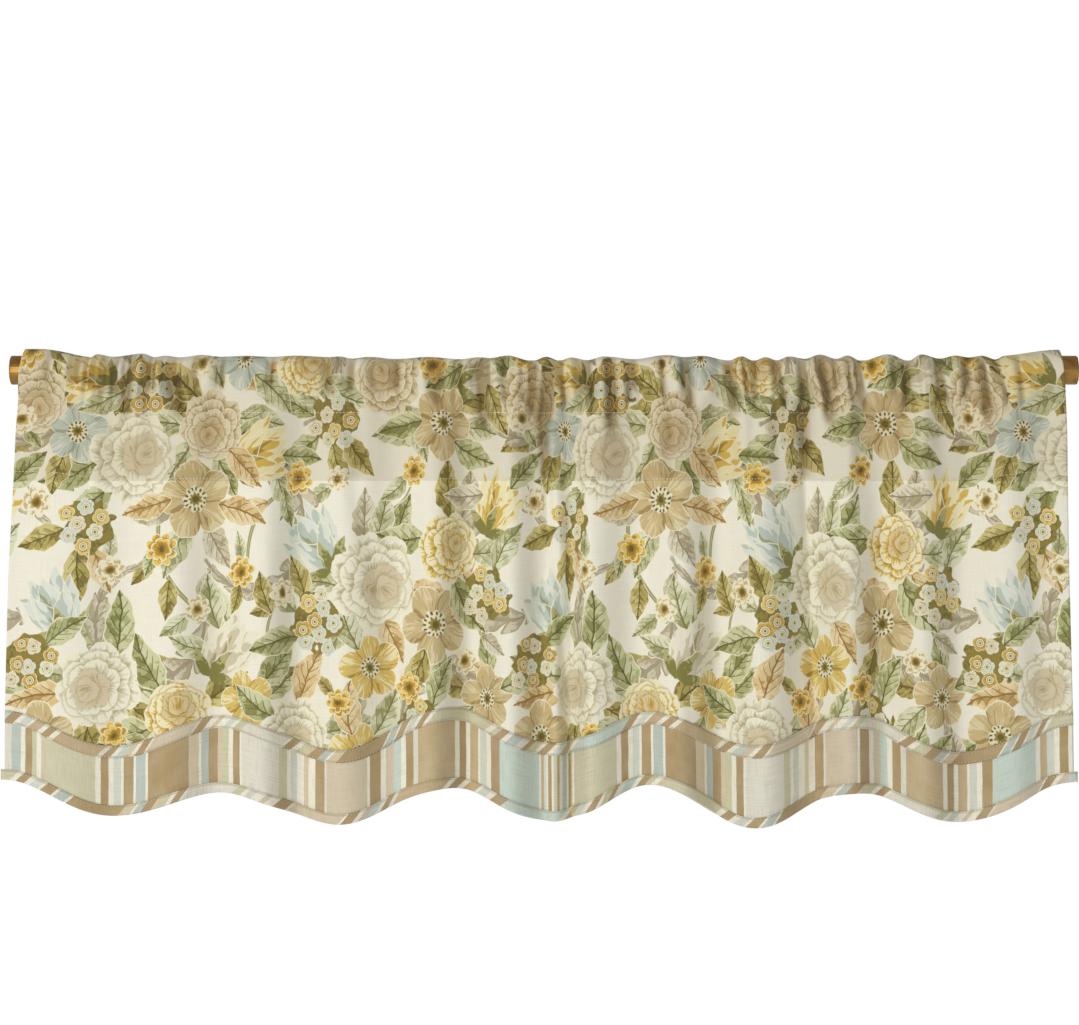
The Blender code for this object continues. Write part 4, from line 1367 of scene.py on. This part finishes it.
def stitch_shape(length, radius):
    """A stitch that bulges out of the cloth: rings along x, radius * sin(pi * t) ** 0.5."""
    steps = np.linspace(0.0, 1.0, 5)
    angles = np.linspace(0.0, 2.0 * math.pi, 6, endpoint=False)
    swell = np.sqrt(np.sin(math.pi * np.clip(steps, 0.03, 0.97)))
    points = np.stack(
        np.broadcast_arrays(
            (steps[:, None] - 0.5) * length,
            np.cos(angles) * radius * swell[:, None],
            np.sin(angles) * radius * 0.7 * swell[:, None],
        ),
        axis=-1,
    ).reshape(-1, 3)
    ring = np.arange(6)
    start = (np.arange(4)[:, None] * 6).repeat(6, axis=1)
    after = (ring + 1) % 6
    faces = np.stack([start + ring, start + after, start + 6 + after, start + 6 + ring], -1)
    caps = np.array([[3, 2, 1, 0], [0, 5, 4, 3], [24, 25, 26, 27], [27, 28, 29, 24]])
    return points, np.concatenate([faces.reshape(-1, 4), caps])


def run_of_stitches(path, outward, length=2.2, gap=1.1, radius=0.3):
    """Stitches along a path of (N, 3) points, each laid along it with its bulge facing outward."""
    steps = np.linalg.norm(np.diff(path, axis=0), axis=1)
    reached = np.concatenate([[0.0], np.cumsum(steps)])
    middles = np.arange(length, reached[-1] - length, length + gap)
    ends = [
        np.stack([np.interp(middles + shift, reached, path[:, axis]) for axis in range(3)], axis=1)
        for shift in (-length / 2.0, length / 2.0)
    ]
    centre = (ends[0] + ends[1]) / 2.0
    along = ends[1] - ends[0]
    along /= np.linalg.norm(along, axis=1)[:, None]
    out = np.stack([np.interp(middles, reached, outward[:, axis]) for axis in range(3)], axis=1)
    side = np.cross(out, along)
    side /= np.linalg.norm(side, axis=1)[:, None]
    out = np.cross(along, side)
    shape, faces = stitch_shape(length, radius)
    points = centre[:, None] + along[:, None] * shape[:, 0, None] + side[:, None] * shape[:, 1, None]
    points = points + out[:, None] * shape[:, 2, None]
    numbers = faces[None] + (np.arange(len(middles)) * len(shape))[:, None, None]
    return points.reshape(-1, 3), numbers.reshape(-1, 4)


def outward_of(path):
    """The direction square to a path and to the vertical, facing the room."""
    along = np.gradient(path, axis=0)
    out = np.stack([along[:, 1], -along[:, 0], np.zeros(len(path))], axis=1)
    return out / np.linalg.norm(out, axis=1)[:, None]


def make_stitching(name, runs, material):
    """One mesh of several runs of stitches. Each run is a path and its outward direction."""
    points = []
    faces = []
    count = 0
    for path, outward in runs:
        new_points, new_faces = run_of_stitches(path, outward)
        points.append(new_points)
        faces.append(new_faces + count)
        count += len(new_points)
    made = make_mesh(name, np.concatenate(points), np.concatenate(faces), [material])
    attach(made, "root")
    return made


def build_panel(shares, across):
    """The printed panel, from the end of its facing over the rod and down to the seam."""
    rows, down, crease_shades = panel_grid(shares)
    materials = [printed_cotton("printed_cotton", 0.0), printed_cotton("printed_cotton_reverse", 0.72)]
    made, faces, flat = make_cloth("floral_cloth", rows, across, down, CLOTH_THICKNESS, materials)
    stamp_print(made, faces, flat)
    # The painted crease shade of each point, stored on its faces' corners
    stamp(made, "tuck", np.repeat(crease_shades.ravel()[faces][..., None], 4, axis=-1))
    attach(made, "root")
    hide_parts("floral_panel")
    return made


def build_band(shares):
    """The striped band under the seam."""
    level = x_at(shares, SCALLOP_LEVEL_Z)
    top = below(1, level, (TRIM_WIDTH + PIECE_GAP) / 2.0)
    foot = below(2, level, -(TAPE_THICKNESS + PIECE_GAP))
    front = -PANEL_THICKNESS / 2.0
    stations = [(top + (foot - top) * share, front) for share in np.linspace(0.0, 1.0, BAND_ROWS)]
    rows, down = scallop_grid(shares, stations)
    materials = [
        striped_cotton("striped_cotton", 0.0, 0.0),
        striped_cotton("striped_cotton_reverse", 0.0, 0.0, 0.1),
    ]
    made, _, _ = make_cloth(
        "striped_band_cloth", rows, stripe_place(level), down[:, None], CLOTH_THICKNESS, materials
    )
    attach(made, "root")
    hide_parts("striped_band")
    return made


def length_seen(row):
    """Distance along a row of points from its start, as the room sees it: without its depth."""
    steps = np.hypot(*np.diff(row, axis=0)[:, ::2].T)
    return np.concatenate([[0.0], np.cumsum(steps)])


def build_trim(shares):
    """The bias trim over the seam: a slightly domed strip, its edges lying flat on the cloth."""
    level = x_at(shares, SCALLOP_LEVEL_Z)
    lie = -(PANEL_THICKNESS + PIECE_GAP + TAPE_CLOTH_THICKNESS / 2.0)
    stations = []
    for share in np.linspace(0.0, 1.0, 9):
        dome = TRIM_DOME * math.sin(math.pi * share) ** 0.5
        stations.append((below(1, level, TRIM_WIDTH * share), lie - dome))
    rows, down = scallop_grid(shares, stations)
    across = length_seen(rows[4])
    material = striped_cotton("bias_trim", BIAS_DEGREES, TRIM_SHIFT, 0.05, -1.3, (down[1], down[7]))
    made, _, _ = make_cloth(
        "seam_trim_cloth", rows, across, down[:, None], TAPE_CLOTH_THICKNESS, [material]
    )
    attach(made, "root")
    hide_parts("seam_trim")
    return made, rows


def build_binding(shares):
    """The bias binding: down the front of the hem, round its edge and up its back."""
    level = x_at(shares, SCALLOP_LEVEL_Z)
    half = PANEL_THICKNESS / 2.0 + PIECE_GAP + TAPE_THICKNESS / 2.0
    middle = -PANEL_THICKNESS / 2.0
    stations = []
    for share in np.linspace(0.0, 1.0, 7):
        drop = -BINDING_WIDTH + (BINDING_WIDTH - half) * share
        stations.append((below(2, level, drop), middle - half - 0.1 * math.sin(math.pi * share)))
    for angle in np.linspace(0.0, math.pi, 9)[1:-1]:
        drop = -half + half * 0.78 * math.sin(angle)
        stations.append((below(2, level, drop), middle - half * math.cos(angle)))
    for share in np.linspace(0.0, 1.0, 5):
        drop = -half - (BINDING_WIDTH - half) * share
        stations.append((below(2, level, drop), middle + half))
    rows, down = scallop_grid(shares, stations)
    rows = with_tails(rows, BINDING_TAIL)
    across = length_seen(rows[3])
    material = striped_cotton("bias_binding", BIAS_DEGREES, BINDING_SHIFT, 0.05, 1.14, (down[1],))
    made, _, _ = make_cloth(
        "hem_binding_cloth", rows, across, down[:, None], TAPE_CLOTH_THICKNESS, [material]
    )
    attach(made, "root")
    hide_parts("hem_binding")
    return made, rows


def build_stitching(shares, trim_rows, binding_rows):
    """The rows of stitches that show: the pocket's and the channel's, and those of the tapes."""
    tape_thread = plain_thread("tape_thread", "thread")
    panel_thread = plain_thread("panel_thread", "#EBE2CE")
    lift = np.array([0.0, -(TAPE_CLOTH_THICKNESS / 2.0 + 0.02), 0.0])
    tapes = (("trim_topstitch", trim_rows, (1, 7)), ("binding_topstitch", binding_rows, (1,)))
    for name, rows, picks in tapes:
        runs = [(rows[pick] + lift, outward_of(rows[pick])) for pick in picks]
        make_stitching(name, runs, tape_thread)
    x = x_at(shares, POCKET_STITCH_Z)
    stitch = pocket_stitch_z(x)
    channel = CHANNEL_STITCH_Z + (stitch - POCKET_STITCH_Z) / 2.0
    front = -(PANEL_THICKNESS / 2.0 + CLOTH_THICKNESS / 2.0 + 0.02)
    runs = []
    for z in (stitch, channel):
        path = hanging_row(shares, z, front)
        runs.append((path, outward_of(path)))
    make_stitching("heading_stitches", runs, panel_thread)


def build_rod():
    """The rod and its caps keep their solids and take the brass."""
    brass = antique_brass("antique_brass_satin")
    for node in ("rod", "end_cap_left", "end_cap_right"):
        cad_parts[node].data.materials.clear()
        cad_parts[node].data.materials.append(brass)


def build_stage():
    """A pale floor with white beyond it, soft lights and the photograph's view."""
    scene = bpy.context.scene
    scene.view_settings.view_transform = "Standard"
    wide = FLOOR_HALF_WIDTH * np.array([-1.0, 1.0, 1.0, -1.0])
    deep = np.repeat([FLOOR_FRONT_Y, FLOOR_BACK_Y], 2)
    corners = np.stack([wide, deep, np.full(4, FLOOR_Z)], axis=1)
    graph = Graph("pale_floor")
    graph.shader.inputs["Base Color"].default_value = (0.93, 0.93, 0.925, 1.0)
    graph.shader.inputs["Roughness"].default_value = 1.0
    make_mesh("floor", corners / MM, np.array([[0, 1, 2, 3]]), [graph.material])

    world = bpy.data.worlds.new("studio")
    world.use_nodes = True
    nodes = world.node_tree.nodes
    links = world.node_tree.links
    soft = nodes["Background"]
    soft.inputs["Color"].default_value = (1.0, 1.0, 1.0, 1.0)
    soft.inputs["Strength"].default_value = WORLD_LIGHT
    beyond = nodes.new("ShaderNodeBackground")
    beyond.inputs["Color"].default_value = (1.0, 1.0, 1.0, 1.0)
    choice = nodes.new("ShaderNodeMixShader")
    path = nodes.new("ShaderNodeLightPath")
    links.new(path.outputs["Is Camera Ray"], choice.inputs[0])
    links.new(soft.outputs[0], choice.inputs[1])
    links.new(beyond.outputs[0], choice.inputs[2])
    links.new(choice.outputs[0], nodes["World Output"].inputs["Surface"])
    scene.world = world
    lamps = (
        ("key", (-2.3, -3.7, 0.15), (0.0, 0.0, -0.2), 2.2, 102.0),
        ("fill", (1.9, -2.8, -0.4), (0.0, 0.0, -0.2), 1.6, 7.0),
        ("back", (2.4, 3.6, 0.6), (0.0, 0.0, -0.2), 2.2, 70.0),
    )
    for name, place, target, size, power in lamps:
        light = bpy.data.lights.new(name, "AREA")
        light.shape = "DISK"
        light.size = size
        light.energy = power
        lamp = bpy.data.objects.new(name, light)
        lamp.location = place
        heading = np.array(target) - np.array(place)
        lamp.rotation_euler = direction_angles(heading)
        lamp.visible_camera = False
        scene.collection.objects.link(lamp)

    camera = bpy.data.cameras.new("camera")
    camera.lens = CAMERA_LENS
    camera.sensor_width = SENSOR_WIDTH
    viewer = bpy.data.objects.new("camera", camera)
    distance = FRAME_WIDTH * CAMERA_LENS / SENSOR_WIDTH
    viewer.location = (CAMERA_X, -distance + CLOTH_FRONT_Y, CAMERA_Z)
    viewer.rotation_euler = (math.pi / 2.0, 0.0, 0.0)
    scene.collection.objects.link(viewer)
    scene.camera = viewer


def direction_angles(heading):
    """Turns that point an object's -Z along a heading, with its Y upward."""
    across = math.hypot(heading[0], heading[1])
    return (math.atan2(across, -heading[2]), 0.0, math.atan2(-heading[0], heading[1]))


build_stage()
column_shares = np.linspace(0.0, 1.0, COLUMNS)
cloth_across = flat_across(column_shares)
panel = build_panel(column_shares, cloth_across)
band = build_band(column_shares)
trim, trim_middle = build_trim(column_shares)
binding, binding_middle = build_binding(column_shares)
build_stitching(column_shares, trim_middle, binding_middle)
build_rod()
